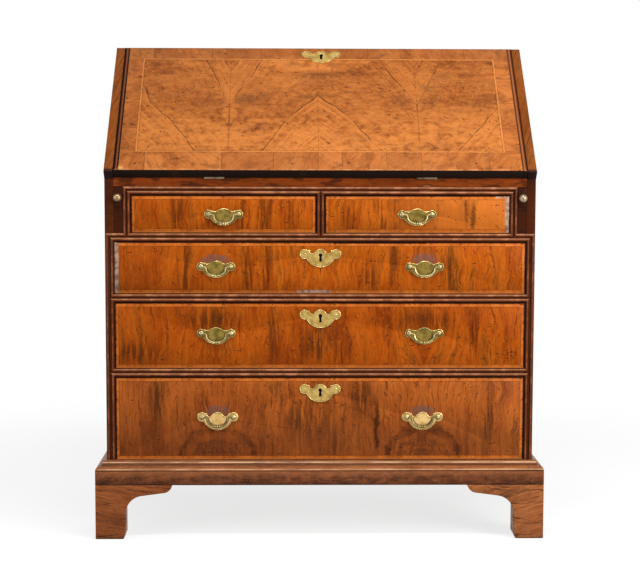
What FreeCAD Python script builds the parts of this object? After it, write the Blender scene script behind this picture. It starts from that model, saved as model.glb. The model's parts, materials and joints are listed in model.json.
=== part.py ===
import FreeCAD, Part
import math
import os

# A walnut slope-front bureau: a case of two short and three long drawers on bracket feet, with a fall that
# drops onto two lopers. Lengths are millimetres. X runs across, Y from front to back and Z up from the floor.
# While it is drawn, Y is 0 on the plane of the case's front; the finished pieces are moved so that the origin
# is under the middle of the whole.

# Case
CASE_WIDTH = 914.0
CASE_DEPTH = 508.0
SIDE_T = 19.0
TOP_T = 20.0
BOTTOM_T = 21.0
BED_T = 18.0
BACK_T = 12.0
BACK_PLANKS = 4
PLANK_GAP = 1.0
RAIL_T = 18.0
RAIL_DEPTH = 60.0
DUST_T = 10.0

# Heights of the drawer openings, and the widths of the upper stage's uprights
LONG_1_H = 111.5
LONG_2_H = 142.0
LONG_3_H = 179.5
SHORT_H = 81.0
PARTITION_T = 17.5
LOPER_SLOT_W = 18.5

# Base: plinth frame, moulding and bracket feet
BASE_OUT = 23.0
APRON_H = 30.0
APRON_T = 32.0
PLINTH_BACK_T = 20.0
FOOT_H = 117.0
FOOT_LENGTH = 164.0
FOOT_TOE = 63.0
FOOT_T = 22.0
FOOT_BACK_LENGTH = 120.0
BLOCK_W = 40.0
BLOCK_LIFT = 5.0

# Slope and fall, over the height from the writing bed to the top
DESK_H = 288.0
SLOPE_DEG = 44.0
RIGHT_ANGLE_DEG = 90.0
FALL_T = 22.0
FALL_PROUD = 4.0
FALL_SIDE_GAP = 1.5
FALL_TOP_GAP = 1.0
FALL_EDGE_W = 10.0
FALL_EDGE_R = 6.0
STOP_W = 14.0
STOP_T = 12.0
STOP_END = 30.0

# Fall hinges
HINGE_X = 225.0
HINGE_LENGTH = 42.0
HINGE_LEAF = 38.0
HINGE_LEAF_T = 2.0
BARREL_R = 3.0
HINGE_PIN_R = 1.3
KNUCKLES = 3

# Applied beads
BEAD_OUT = 2.6
BEAD_INSET = 0.7
BEAD_GROOVE = 1.7

# Drawers
FRONT_T = 19.0
DRAWER_BACK_GAP = 26.0
DRAWER_SIDE_T = 10.0
DRAWER_BACK_T = 10.0
DRAWER_BOTTOM_T = 7.0
DRAWER_BOTTOM_LIFT = 8.0
DRAWER_BOX_DROP = 9.0
DRAWER_GAP = 1.2
DRAWER_TOP_GAP = 2.2
DRAWER_STOP_W = 40.0
DRAWER_STOP_D = 16.0
DRAWER_STOP_H = 5.0
DRAWER_STOP_IN = 190.0

# Lopers and their knobs
LOPER_BACK_GAP = 66.0
LOPER_H = 39.4
KNOB_R = 9.3
KNOB_NECK_R = 5.0
KNOB_NECK = 2.5
KNOB_SHANK_R = 2.5
KNOB_SHANK = 14.0

# Handles: distance from the middle of the front and rise above its mid-height
SHORT_HANDLE_X = 205.0
SHORT_HANDLE_RISE = 0.0
LONG_1_HANDLE_X = 222.0
LONG_1_HANDLE_RISE = 3.0
LONG_2_HANDLE_X = 222.0
LONG_2_HANDLE_RISE = 5.5
LONG_3_HANDLE_X = 219.5
LONG_3_HANDLE_RISE = 3.5
PLATE_T = 1.8
POST_R = 3.2
POST_OUT = 5.6
POST_CAP = 3.4
SHANK_R = 2.0
NUT_R = 5.0
NUT_T = 3.0
BAIL_R = 2.2
BAIL_PIN_R = 1.4
BAIL_GAP = 0.6
KNOP_R = 3.2
KNOP_H = 4.4

# Shouldered plates on the upper drawers, notched plates on the lowest drawer and as escutcheons
SHOULDERED_SPACING = 64.0
SHOULDERED_LOBE_R = 9.2
SHOULDERED_RISE = 12.6
SHOULDERED_DROP = 24.0
NOTCHED_SPACING = 67.0
NOTCHED_LOBE_R = 10.5
NOTCHED_RISE = 10.8
NOTCHED_DROP = 28.5
NAIL_R = 2.6
LOBE_LOW_DEG = 20.0
LOBE_HIGH_DEG = 35.0

# Locks and keyholes
ESCUTCHEON_DROP = 24.0
FALL_ESCUTCHEON_DROP = 22.0
FALL_LOCK_X = 5.0
KEY_R = 2.7
KEY_SLOT_W = 3.4
KEY_HEAD_DROP = 2.5
KEY_DROP = 16.5
LOCK_W = 64.0
LOCK_H = 48.0
LOCK_T = 9.0
BOLT_W = 20.0
BOLT_T = 4.6
BOLT_H = 30.0
BOLT_TRAVEL = 9.0

# Interior gallery
GALLERY_GAP = 11.355
GALLERY_T = 7.0
DIVIDER_T = 5.0
PIGEONHOLES = 4
CUPBOARD_W = 140.0
CUPBOARD_H = 112.0
SMALL_DRAWER_H = 60.0
SMALL_DRAWER_BACK_GAP = 11.0
SMALL_FRONT_T = 9.0
SMALL_WALL_T = 5.0
SMALL_KNOB_R = 6.0
SMALL_KNOB_NECK_R = 2.8
SMALL_KNOB_NECK = 5.0
DOOR_T = 12.0
DOOR_GAP = 0.8
DOOR_PIN_R = 1.5
DOOR_PIN = 6.0
VALANCE_H = 34.0
VALANCE_T = 5.0

# Clearances
RUN_CLEAR = 0.3
FIT_CLEAR = 0.05
HINGE_CLEAR = 0.2
OVERRUN = 1.0

# Outlines, as shares of the sizes that they follow
# Handle plates: across as a share of the half width, up as a share of the rise above the posts
SHOULDERED_SPUR_SHARE = (0.56, 0.58)
SHOULDERED_NOTCH_SHARE = (0.43, 0.50)
SHOULDERED_FLANK_SHARE = (0.32, 0.66)
NOTCHED_SPUR_SHARE = (0.51, 0.74)
NOTCHED_NOTCH_SHARE = (0.39, 0.06)
NOTCHED_FLANK_SHARE = (0.27, 0.42)
# Base moulding: out as a share of the projection, up as a share of its height
MOULD_FILLET_SHARE = (0.36, 0.76)
MOULD_COVE_SHARE = (0.43, 0.60)
MOULD_TURN_SHARE = (0.60, 0.49)
MOULD_SWELL_SHARE = (0.86, 0.37)
MOULD_LIP_SHARE = (1.0, 0.14)
# Bracket feet: along as a share of the bracket beyond its toe, up as a share of the foot's height
FOOT_SPRING_SHARE = (0.02, 0.39)
FOOT_CROOK_SHARE = (0.10, 0.68)
FOOT_ARCH_SHARE = (0.36, 0.80)
FOOT_RISE_SHARE = (0.80, 0.85)
FOOT_CURL_SHARE = (0.94, 0.90)
FOOT_CHAMFER_SHARE = 0.06
FOOT_BACK_CUT_SHARE = 0.5
# Bail: each corner turns through this share of a right angle on a radius that is a share of the half spacing
BAIL_TURN_SHARE = 0.66
BAIL_CORNER_SHARE = 0.40
BAIL_NECK_SHARE = 0.10
# Valances: rise of the arch as a share of the valance's height
VALANCE_ARCH_SHARE = 0.62
VALANCE_FOOT_SHARE = 0.08
# Cupboard knob: across as a share of the door beyond its pivot, up as a share of its height
DOOR_KNOB_SHARE = (0.88, 0.66)

# Places worked out from the sizes
HALF_W = CASE_WIDTH / 2
INNER_X = HALF_W - SIDE_T
BASE_X = HALF_W + BASE_OUT
BACK_Y = CASE_DEPTH - BACK_T
CASE_Z = FOOT_H + APRON_H
FLOOR_3_Z = CASE_Z + BOTTOM_T
FLOOR_2_Z = FLOOR_3_Z + LONG_3_H + RAIL_T
FLOOR_1_Z = FLOOR_2_Z + LONG_2_H + RAIL_T
FLOOR_0_Z = FLOOR_1_Z + LONG_1_H + RAIL_T
TOP_RAIL_Z = FLOOR_0_Z + SHORT_H
BED_Z = TOP_RAIL_Z + RAIL_T
BED_TOP_Z = BED_Z + BED_T
CASE_HEIGHT = BED_TOP_Z + DESK_H
SHELL_TOP_Z = CASE_HEIGHT - TOP_T
SLOT_X = INNER_X - LOPER_SLOT_W
SHORT_X = SLOT_X - PARTITION_T
SHORT_IN_X = PARTITION_T / 2
# Two beads and the groove between them fill the thinnest board that carries a pair.
BEAD_W = (min(SIDE_T, RAIL_T, PARTITION_T) - BEAD_GROOVE) / 2 - BEAD_INSET
DRAWER_DEPTH = BACK_Y - DRAWER_BACK_GAP
DEPTH_MIDDLE = (CASE_DEPTH - BASE_OUT) / 2
RAKE = math.radians(SLOPE_DEG)
HINGE_OUT = BARREL_R + HINGE_CLEAR
FALL_LENGTH = (DESK_H - FALL_T * math.cos(RAKE)) / math.sin(RAKE)
FALL_HALF_W = INNER_X - FALL_SIDE_GAP
LOPER_Z = BED_TOP_Z - FALL_T - RUN_CLEAR - LOPER_H
LOPER_X = (INNER_X + SLOT_X) / 2
LOPER_LENGTH = BACK_Y - LOPER_BACK_GAP
# The gallery stands just behind the top of the closed fall.
GALLERY_SETBACK = FALL_LENGTH * math.cos(RAKE) - HINGE_OUT + GALLERY_GAP
SMALL_DRAWER_DEPTH = BACK_Y - GALLERY_SETBACK - SMALL_DRAWER_BACK_GAP
CUPBOARD_X = CUPBOARD_W / 2
GALLERY_X = CUPBOARD_X + GALLERY_T
SHELF_Z = BED_TOP_Z + SMALL_DRAWER_H
CUPBOARD_Z = BED_TOP_Z + CUPBOARD_H
DOOR_AXIS_X = -CUPBOARD_X + DOOR_GAP + DOOR_T / 2
DOOR_AXIS_Y = GALLERY_SETBACK + DOOR_T / 2
BAIL_Y = -PLATE_T - POST_OUT

X_AXIS = FreeCAD.Vector(1, 0, 0)
Y_AXIS = FreeCAD.Vector(0, 1, 0)
Z_AXIS = FreeCAD.Vector(0, 0, 1)
ORIGIN = FreeCAD.Vector(0, 0, 0)

# Sizes of the two plate patterns: half spacing of the posts, lobe radius, rise, drop and outline shares
SHOULDERED = (SHOULDERED_SPACING / 2, SHOULDERED_LOBE_R, SHOULDERED_RISE, SHOULDERED_DROP,
              (SHOULDERED_SPUR_SHARE, SHOULDERED_NOTCH_SHARE, SHOULDERED_FLANK_SHARE))
NOTCHED = (NOTCHED_SPACING / 2, NOTCHED_LOBE_R, NOTCHED_RISE, NOTCHED_DROP,
           (NOTCHED_SPUR_SHARE, NOTCHED_NOTCH_SHARE, NOTCHED_FLANK_SHARE))

# Drawer openings (low x, high x, floor z, height), then each handle's place from the middle, rise and pattern
LONG_DRAWERS = {
    "long_drawer_1": ((-INNER_X, INNER_X, FLOOR_1_Z, LONG_1_H),
                      LONG_1_HANDLE_X, LONG_1_HANDLE_RISE, SHOULDERED),
    "long_drawer_2": ((-INNER_X, INNER_X, FLOOR_2_Z, LONG_2_H),
                      LONG_2_HANDLE_X, LONG_2_HANDLE_RISE, SHOULDERED),
    "long_drawer_3": ((-INNER_X, INNER_X, FLOOR_3_Z, LONG_3_H),
                      LONG_3_HANDLE_X, LONG_3_HANDLE_RISE, NOTCHED),
}
SHORT_DRAWERS = {
    "short_drawer_left": ((-SHORT_X, -SHORT_IN_X, FLOOR_0_Z, SHORT_H), -SHORT_HANDLE_X),
    "short_drawer_right": ((SHORT_IN_X, SHORT_X, FLOOR_0_Z, SHORT_H), SHORT_HANDLE_X),
}


def point(x, y, z):
    return FreeCAD.Vector(x, y, z)


def box(x, y, z):
    """A block between the low and high value of each pair."""
    return Part.makeBox(x[1] - x[0], y[1] - y[0], z[1] - z[0], point(x[0], y[0], z[0]))


def across_x(x):
    """Places a (y, z) pair on the upright plane at this x."""
    return lambda p: point(x, p[0], p[1])


def across_y(y):
    """Places an (x, z) pair on the upright plane at this y."""
    return lambda p: point(p[0], y, p[1])


def across_z(z):
    """Places an (x, y) pair on the level plane at this z."""
    return lambda p: point(p[0], p[1], z)


def face(place, start, steps):
    """A flat face; each step is a point for a straight edge, or (via, end) for an arc."""
    edges = []
    here = start
    for step in steps + [start]:
        arc = isinstance(step[0], tuple)
        end = step[1] if arc else step
        if arc:
            edges.append(Part.Arc(place(here), place(step[0]), place(end)).toShape())
        elif end != here:
            edges.append(Part.LineSegment(place(here), place(end)).toShape())
        here = end
    return Part.Face(Part.Wire(edges))


def prism(place, points, along):
    """A straight-sided outline carried along a vector."""
    return face(place, points[0], points[1:]).extrude(along)


def rod(radius, start, direction, length):
    return Part.makeCylinder(radius, length, start, direction)


def ball(radius, centre):
    return Part.makeSphere(radius, centre)


def mirrored(shape):
    """The same piece on the other side of the middle plane."""
    return shape.mirror(ORIGIN, X_AXIS)


def pair(shape):
    return [shape, mirrored(shape)]


def on_slope(s, t):
    """The (y, z) of a place s up the fall from its hinge and t out from the fall's inner face."""
    y = -HINGE_OUT + s * math.cos(RAKE) - t * math.sin(RAKE)
    z = BED_TOP_Z + s * math.sin(RAKE) + t * math.cos(RAKE)
    return (y, z)


def to_slope(shape):
    """Carries a piece drawn flat, with Y up the fall and Z out of it, to the closed fall."""
    shape.rotate(ORIGIN, X_AXIS, SLOPE_DEG)
    shape.translate(point(0, -HINGE_OUT, BED_TOP_Z))
    return shape


def case_side():
    """The right side: raked above the writing bed, with a small nose where the rake meets the front."""
    rake_t = FALL_T - FALL_PROUD
    nose = on_slope(0, rake_t)
    under_nose = (0, BED_TOP_Z - HINGE_OUT / math.tan(RAKE))
    rake_top = on_slope((DESK_H - rake_t * math.cos(RAKE)) / math.sin(RAKE), rake_t)
    outline = [(0, CASE_Z), under_nose, nose, rake_top, (CASE_DEPTH, CASE_HEIGHT), (CASE_DEPTH, CASE_Z)]
    return prism(across_x(INNER_X), outline, X_AXIS * SIDE_T)


def case_top():
    """The top, its front edge square to the fall, with the mortise for the fall's lock bolt."""
    edge_s = FALL_LENGTH + FALL_TOP_GAP
    low_t = (SHELL_TOP_Z - BED_TOP_Z - edge_s * math.sin(RAKE)) / math.cos(RAKE)
    high_t = (CASE_HEIGHT - BED_TOP_Z - edge_s * math.sin(RAKE)) / math.cos(RAKE)
    outline = [on_slope(edge_s, low_t), on_slope(edge_s, high_t),
               (CASE_DEPTH, CASE_HEIGHT), (CASE_DEPTH, SHELL_TOP_Z)]
    top = prism(across_x(-INNER_X), outline, X_AXIS * 2 * INNER_X)
    return top.cut(to_slope(bolt_space((FALL_LENGTH, FALL_LENGTH + BOLT_TRAVEL + OVERRUN))))


def bolt_space(s):
    """Room for the fall's lock bolt over a stretch of the fall's length, drawn flat."""
    half = BOLT_W / 2 + RUN_CLEAR
    middle = LOCK_T / 2
    half_t = BOLT_T / 2 + RUN_CLEAR
    return box((FALL_LOCK_X - half, FALL_LOCK_X + half), s, (middle - half_t, middle + half_t))


def case_bottom():
    return box((-INNER_X, INNER_X), (0, BACK_Y), (CASE_Z, FLOOR_3_Z))


def back_boards():
    pitch = 2 * INNER_X / BACK_PLANKS
    planks = []
    for i in range(BACK_PLANKS):
        left = -INNER_X + i * pitch
        right = left + pitch - (PLANK_GAP if i < BACK_PLANKS - 1 else 0)
        planks.append(box((left, right), (BACK_Y, CASE_DEPTH), (CASE_Z, SHELL_TOP_Z)))
    return planks


def writing_bed():
    """The fixed bed, with the hinge leaves let into its top and a hole for the cupboard door's lower pin."""
    bed = box((-INNER_X, INNER_X), (0, BACK_Y), (BED_Z, BED_TOP_Z))
    half = HINGE_LENGTH / 2
    for x in (-HINGE_X, HINGE_X):
        bed = bed.cut(box((x - half, x + half), (0, HINGE_LEAF), (BED_TOP_Z - HINGE_LEAF_T, BED_TOP_Z)))
    pin_foot = point(DOOR_AXIS_X, DOOR_AXIS_Y, BED_TOP_Z - DOOR_PIN)
    return bed.cut(rod(DOOR_PIN_R + FIT_CLEAR, pin_foot, Z_AXIS, DOOR_PIN))


def drawer_rails():
    """The rails between the drawers and the one under the bed, with mortises for the lock bolts."""
    rails = []
    half = BOLT_W / 2 + RUN_CLEAR
    y = lock_y()
    for (x0, x1, floor, height), _, _, _ in LONG_DRAWERS.values():
        z = floor + height
        rail = box((x0, x1), (0, RAIL_DEPTH), (z, z + RAIL_T))
        mortise = box((-half, half), (y[0] - RUN_CLEAR, y[1] + RUN_CLEAR), (z, z + BOLT_TRAVEL))
        rails.append(rail.cut(mortise))
    rails.append(box((-SHORT_X, SHORT_X), (0, RAIL_DEPTH), (TOP_RAIL_Z, BED_Z)))
    return rails


def dust_boards():
    """Boards behind the rails that each drawer runs on, and the stops that its front closes against."""
    pieces = []
    for floor in (FLOOR_0_Z, FLOOR_1_Z, FLOOR_2_Z):
        pieces.append(box((-INNER_X, INNER_X), (RAIL_DEPTH, BACK_Y), (floor - DUST_T, floor)))
    openings = [(0, FLOOR_1_Z), (0, FLOOR_2_Z), (0, FLOOR_3_Z)]
    openings += [((low + high) / 2, floor) for (low, high, floor, _), _ in SHORT_DRAWERS.values()]
    y = (FRONT_T + RUN_CLEAR, FRONT_T + RUN_CLEAR + DRAWER_STOP_D)
    for middle, floor in openings:
        reach = DRAWER_STOP_IN if middle == 0 else DRAWER_STOP_IN / 2
        for x in (middle - reach, middle + reach):
            half = DRAWER_STOP_W / 2
            pieces.append(box((x - half, x + half), y, (floor, floor + DRAWER_STOP_H)))
    return pieces


def upper_partitions():
    """Uprights of the short-drawer stage, and the runners and kickers that the lopers slide between."""
    partition = box((SHORT_X, SLOT_X), (0, BACK_Y), (FLOOR_0_Z, BED_Z))
    runner = box((SLOT_X, INNER_X), (0, BACK_Y), (FLOOR_0_Z, LOPER_Z - RUN_CLEAR))
    kicker = box((SLOT_X, INNER_X), (0, BACK_Y), (LOPER_Z + LOPER_H + RUN_CLEAR, BED_Z))
    middle_front = box((-SHORT_IN_X, SHORT_IN_X), (0, RAIL_DEPTH), (FLOOR_0_Z, TOP_RAIL_Z))
    middle_back = box((-SHORT_IN_X, SHORT_IN_X), (RAIL_DEPTH, BACK_Y), (FLOOR_0_Z, BED_Z))
    return pair(partition) + pair(runner) + pair(kicker) + [middle_front.fuse(middle_back).removeSplitter()]


def bead(corners):
    """A half-round strip on the front plane, over a four-cornered footprint with square or mitred ends."""
    xs = [c[0] for c in corners]
    zs = [c[1] for c in corners]
    width = max(xs) - min(xs)
    height = max(zs) - min(zs)
    lying = width > height
    across = Z_AXIS * height if lying else X_AXIS * width
    along = X_AXIS * width if lying else Z_AXIS * height
    start = point(min(xs), 0, min(zs))
    end = start + across
    crest = (start + end) / 2 - Y_AXIS * BEAD_OUT
    section = [Part.Arc(start, crest, end).toShape(), Part.LineSegment(end, start).toShape()]
    strip = Part.Face(Part.Wire(section)).extrude(along)
    footprint = prism(across_y(0), corners, Y_AXIS * -(BEAD_OUT + OVERRUN))
    return strip.common(footprint).Solids[0]


def bead_frame(x0, x1, z0, z1):
    """Four mitred beads just outside a drawer's opening."""
    near = BEAD_INSET
    far = BEAD_INSET + BEAD_W
    inner = [(x0 - near, z0 - near), (x1 + near, z0 - near), (x1 + near, z1 + near), (x0 - near, z1 + near)]
    outer = [(x0 - far, z0 - far), (x1 + far, z0 - far), (x1 + far, z1 + far), (x0 - far, z1 + far)]
    strips = []
    for i in range(len(inner)):
        j = (i + 1) % len(inner)
        strips.append(bead([outer[i], outer[j], inner[j], inner[i]]))
    return strips


def carcase_beads():
    """A bead round each opening, and an outer bead that steps round the lopers and down the case's edges."""
    strips = []
    for (x0, x1, floor, height), _ in SHORT_DRAWERS.values():
        strips += bead_frame(x0, x1, floor, floor + height)
    for name, ((x0, x1, floor, height), _, _, _) in LONG_DRAWERS.items():
        frame = bead_frame(x0, x1, floor, floor + height)
        # The base moulding takes the place of the lowest bead.
        if name == "long_drawer_3":
            frame = [upright_to(strip, FLOOR_3_Z) for strip in frame[1:]]
        strips += frame
    top = BED_Z - BEAD_INSET
    ledge = FLOOR_0_Z - BEAD_INSET
    slot = SLOT_X - BEAD_INSET
    edge = HALF_W - BEAD_INSET
    low_top = top - BEAD_W
    low_ledge = ledge - BEAD_W
    in_slot = slot - BEAD_W
    in_edge = edge - BEAD_W
    strips.append(bead([(-slot, top), (slot, top), (in_slot, low_top), (-in_slot, low_top)]))
    strips += pair(bead([(slot, top), (slot, ledge), (in_slot, low_ledge), (in_slot, low_top)]))
    strips += pair(bead([(slot, ledge), (edge, ledge), (in_edge, low_ledge), (in_slot, low_ledge)]))
    strips += pair(bead([(edge, ledge), (edge, FLOOR_3_Z), (in_edge, FLOOR_3_Z), (in_edge, low_ledge)]))
    return strips


def upright_to(strip, floor):
    """A strip cut off level at the floor of the lowest drawer."""
    limits = strip.BoundBox
    x = (limits.XMin - OVERRUN, limits.XMax + OVERRUN)
    y = (limits.YMin - OVERRUN, limits.YMax + OVERRUN)
    below = box(x, y, (floor - BEAD_W - BEAD_INSET - OVERRUN, floor))
    return strip.cut(below).Solids[0]


def moulding_section(place):
    """The base moulding's section: a fillet, a cove that turns into a swell, and a lip at its widest."""
    height = FLOOR_3_Z - CASE_Z

    def at(share):
        return (share[0] * BASE_OUT, CASE_Z + share[1] * height)

    fillet = at(MOULD_FILLET_SHARE)
    steps = [(BASE_OUT, CASE_Z), at(MOULD_LIP_SHARE), (at(MOULD_SWELL_SHARE), at(MOULD_TURN_SHARE)),
             (at(MOULD_COVE_SHARE), fillet), (fillet[0], FLOOR_3_Z), (0, FLOOR_3_Z)]
    return face(place, (0, CASE_Z), steps)


def base_mouldings():
    """The front moulding and the two side ones, mitred at the front corners."""
    front = moulding_section(lambda p: point(-BASE_X, -p[0], p[1]))
    front = front.extrude(X_AXIS * 2 * BASE_X)
    side = moulding_section(lambda p: point(HALF_W + p[0], -BASE_OUT, p[1]))
    side = side.extrude(Y_AXIS * (CASE_DEPTH + BASE_OUT))
    rise = Z_AXIS * (FLOOR_3_Z - CASE_Z)
    front_plan = [(-BASE_X, -BASE_OUT), (BASE_X, -BASE_OUT), (HALF_W, 0), (-HALF_W, 0)]
    side_plan = [(BASE_X, -BASE_OUT), (BASE_X, CASE_DEPTH), (HALF_W, CASE_DEPTH), (HALF_W, 0)]
    front = front.common(prism(across_z(CASE_Z), front_plan, rise))
    side = side.common(prism(across_z(CASE_Z), side_plan, rise))
    return [front.Solids[0]] + pair(side.Solids[0])


def plinth_aprons():
    """The frame under the case: front and sides mitred, and a plain rail across the back."""
    in_x = BASE_X - APRON_T
    in_y = APRON_T - BASE_OUT
    rise = Z_AXIS * APRON_H
    front_plan = [(-BASE_X, -BASE_OUT), (BASE_X, -BASE_OUT), (in_x, in_y), (-in_x, in_y)]
    side_plan = [(BASE_X, -BASE_OUT), (BASE_X, CASE_DEPTH), (in_x, CASE_DEPTH), (in_x, in_y)]
    front = prism(across_z(FOOT_H), front_plan, rise)
    side = prism(across_z(FOOT_H), side_plan, rise)
    back = box((-in_x, in_x), (CASE_DEPTH - PLINTH_BACK_T, CASE_DEPTH), (FOOT_H, CASE_Z))
    return [front, back] + pair(side)


def bracket_outline(place):
    """A bracket foot seen square on: a straight toe, a crook to a low arch, and a curl up to the plinth."""
    beyond = FOOT_LENGTH - FOOT_TOE

    def at(share):
        return (FOOT_TOE + share[0] * beyond, share[1] * FOOT_H)

    chamfer = FOOT_CHAMFER_SHARE * FOOT_TOE
    steps = [(FOOT_TOE - chamfer, 0), (FOOT_TOE, 2 * chamfer), at(FOOT_SPRING_SHARE),
             (at(FOOT_CROOK_SHARE), at(FOOT_ARCH_SHARE)), at(FOOT_RISE_SHARE),
             (at(FOOT_CURL_SHARE), (FOOT_LENGTH, FOOT_H)), (0, FOOT_H)]
    return face(place, (0, 0), steps)


def front_foot():
    """The right front foot: two brackets mitred at the corner, and a glue block behind them."""
    in_x = BASE_X - FOOT_T
    in_y = FOOT_T - BASE_OUT
    rise = Z_AXIS * FOOT_H
    front = bracket_outline(lambda p: point(BASE_X - p[0], -BASE_OUT, p[1])).extrude(Y_AXIS * FOOT_T)
    side = bracket_outline(lambda p: point(BASE_X, p[0] - BASE_OUT, p[1])).extrude(X_AXIS * -FOOT_T)
    reach_x = BASE_X - FOOT_LENGTH
    reach_y = FOOT_LENGTH - BASE_OUT
    front_plan = [(BASE_X, -BASE_OUT), (in_x, in_y), (reach_x, in_y), (reach_x, -BASE_OUT)]
    side_plan = [(BASE_X, -BASE_OUT), (BASE_X, reach_y), (in_x, reach_y), (in_x, in_y)]
    front = front.common(prism(across_z(0), front_plan, rise))
    side = side.common(prism(across_z(0), side_plan, rise))
    block = box((in_x - BLOCK_W, in_x), (in_y, in_y + BLOCK_W), (BLOCK_LIFT, FOOT_H))
    return [front.Solids[0], side.Solids[0], block]


def back_foot():
    """The right back foot: a shaped side bracket, a plain raked bracket across the back and a glue block."""
    in_x = BASE_X - FOOT_T
    in_y = CASE_DEPTH - FOOT_T
    side = bracket_outline(lambda p: point(BASE_X, CASE_DEPTH - p[0], p[1])).extrude(X_AXIS * -FOOT_T)
    reach = in_x - FOOT_BACK_LENGTH
    cut = in_x - FOOT_BACK_LENGTH * FOOT_BACK_CUT_SHARE
    back = prism(across_y(in_y), [(in_x, 0), (in_x, FOOT_H), (reach, FOOT_H), (cut, 0)], Y_AXIS * FOOT_T)
    block = box((in_x - BLOCK_W, in_x), (in_y - BLOCK_W, in_y), (BLOCK_LIFT, FOOT_H))
    return [side, back, block]


def knuckle(x0, x1):
    """One length of a hinge barrel, bored for the pin."""
    start = point(x0, -HINGE_OUT, BED_TOP_Z)
    return rod(BARREL_R, start, X_AXIS, x1 - x0).cut(rod(HINGE_PIN_R + FIT_CLEAR, start, X_AXIS, x1 - x0))


def knuckle_stretches(x):
    """The three stretches of a hinge barrel: the outer two are the case leaf's, the middle one the fall's."""
    half = HINGE_LENGTH / 2
    inner = HINGE_LENGTH / KNUCKLES / 2
    return [(x - half, x - inner - RUN_CLEAR), (x - inner, x + inner), (x + inner + RUN_CLEAR, x + half)]


def leaf_with_knuckles(leaf, tab, stretches):
    """A flat leaf joined to its knuckles by a tab on each, with the barrel's bore left open."""
    piece = leaf
    for x0, x1 in stretches:
        bore = rod(HINGE_PIN_R + FIT_CLEAR, point(x0, -HINGE_OUT, BED_TOP_Z), X_AXIS, x1 - x0)
        piece = piece.fuse(knuckle(x0, x1)).fuse(tab((x0, x1)).cut(bore))
    return piece.removeSplitter()


def case_hinge_leaves():
    """The fall hinges' case leaves and pins, and the two pins that the cupboard door turns on."""
    z = (BED_TOP_Z - HINGE_LEAF_T, BED_TOP_Z)
    half = HINGE_LENGTH / 2
    pieces = []
    for x in (-HINGE_X, HINGE_X):
        outer = [knuckle_stretches(x)[0], knuckle_stretches(x)[2]]
        leaf = box((x - half, x + half), (0, HINGE_LEAF), z)
        pieces.append(leaf_with_knuckles(leaf, lambda stretch: box(stretch, (-HINGE_OUT, 0), z), outer))
        pieces.append(rod(HINGE_PIN_R, point(x - half, -HINGE_OUT, BED_TOP_Z), X_AXIS, HINGE_LENGTH))
    for z0 in (BED_TOP_Z - DOOR_PIN, CUPBOARD_Z - DOOR_PIN):
        pieces.append(rod(DOOR_PIN_R, point(DOOR_AXIS_X, DOOR_AXIS_Y, z0), Z_AXIS, 2 * DOOR_PIN))
    return pieces


def fall_leaf_tab(x):
    """The strip of a fall leaf between its face and its knuckle."""
    return to_slope(box(x, (0, BARREL_R + RUN_CLEAR), (0, HINGE_LEAF_T)))


def fall_hinge_leaves():
    """The fall's hinge leaves, let flush into its inner face."""
    half = HINGE_LENGTH / 2
    clear = BARREL_R + RUN_CLEAR
    pieces = []
    for x in (-HINGE_X, HINGE_X):
        middle = knuckle_stretches(x)[1]
        leaf = to_slope(box((x - half, x + half), (clear, HINGE_LEAF), (0, HINGE_LEAF_T)))
        pieces.append(leaf_with_knuckles(leaf, fall_leaf_tab, [middle]))
    return pieces


def keyhole(depth):
    """A keyhole's space seen from the front: a round head over a straight slot, cut into +Y from Y 0."""
    head = rod(KEY_R, point(0, 0, -KEY_HEAD_DROP), Y_AXIS, depth)
    slot = box((-KEY_SLOT_W / 2, KEY_SLOT_W / 2), (0, depth), (-KEY_DROP, -KEY_HEAD_DROP))
    return head.fuse(slot).removeSplitter()


def lay_on_fall(shape, x, s, t):
    """Carries a piece drawn upright, facing the front, to a place on the fall, still drawn flat."""
    shape.rotate(ORIGIN, X_AXIS, -RIGHT_ANGLE_DEG)
    shape.translate(point(x, s, t))
    return shape


def fall_board():
    """The fall between its moulded ends, cut for its hinges, lock and keyhole."""
    half = FALL_HALF_W - FALL_EDGE_W
    board = box((-half, half), (0, FALL_LENGTH), (0, FALL_T))
    for x in (-HINGE_X, HINGE_X):
        reach = HINGE_LENGTH / 2
        board = board.cut(box((x - reach, x + reach), (0, HINGE_LEAF), (0, HINGE_LEAF_T)))
        ends = reach + RUN_CLEAR
        board = board.cut(rod(BARREL_R + RUN_CLEAR, point(x - ends, 0, 0), X_AXIS, 2 * ends))
    lock = (FALL_LOCK_X - LOCK_W / 2, FALL_LOCK_X + LOCK_W / 2)
    board = board.cut(box(lock, (FALL_LENGTH - LOCK_H, FALL_LENGTH), (0, LOCK_T)))
    board = board.cut(lay_on_fall(keyhole(FALL_T), FALL_LOCK_X, FALL_LENGTH - FALL_ESCUTCHEON_DROP, FALL_T))
    return to_slope(board)


def fall_edges():
    """The moulded ends of the fall, each rounded on its outer front edge."""
    inner = FALL_HALF_W - FALL_EDGE_W
    shoulder = FALL_T - FALL_EDGE_R
    bend = FALL_EDGE_R * (1 - math.cos(math.pi / 4))
    steps = [(FALL_HALF_W, 0), (FALL_HALF_W, shoulder),
             ((FALL_HALF_W - bend, FALL_T - bend), (FALL_HALF_W - FALL_EDGE_R, FALL_T)), (inner, FALL_T)]
    end = face(across_y(0), (inner, 0), steps).extrude(Y_AXIS * FALL_LENGTH)
    return pair(to_slope(end))


def lock_y():
    """Front and back of a drawer's lock bolt."""
    middle = FRONT_T - LOCK_T / 2
    return (middle - BOLT_T / 2, middle + BOLT_T / 2)


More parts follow.
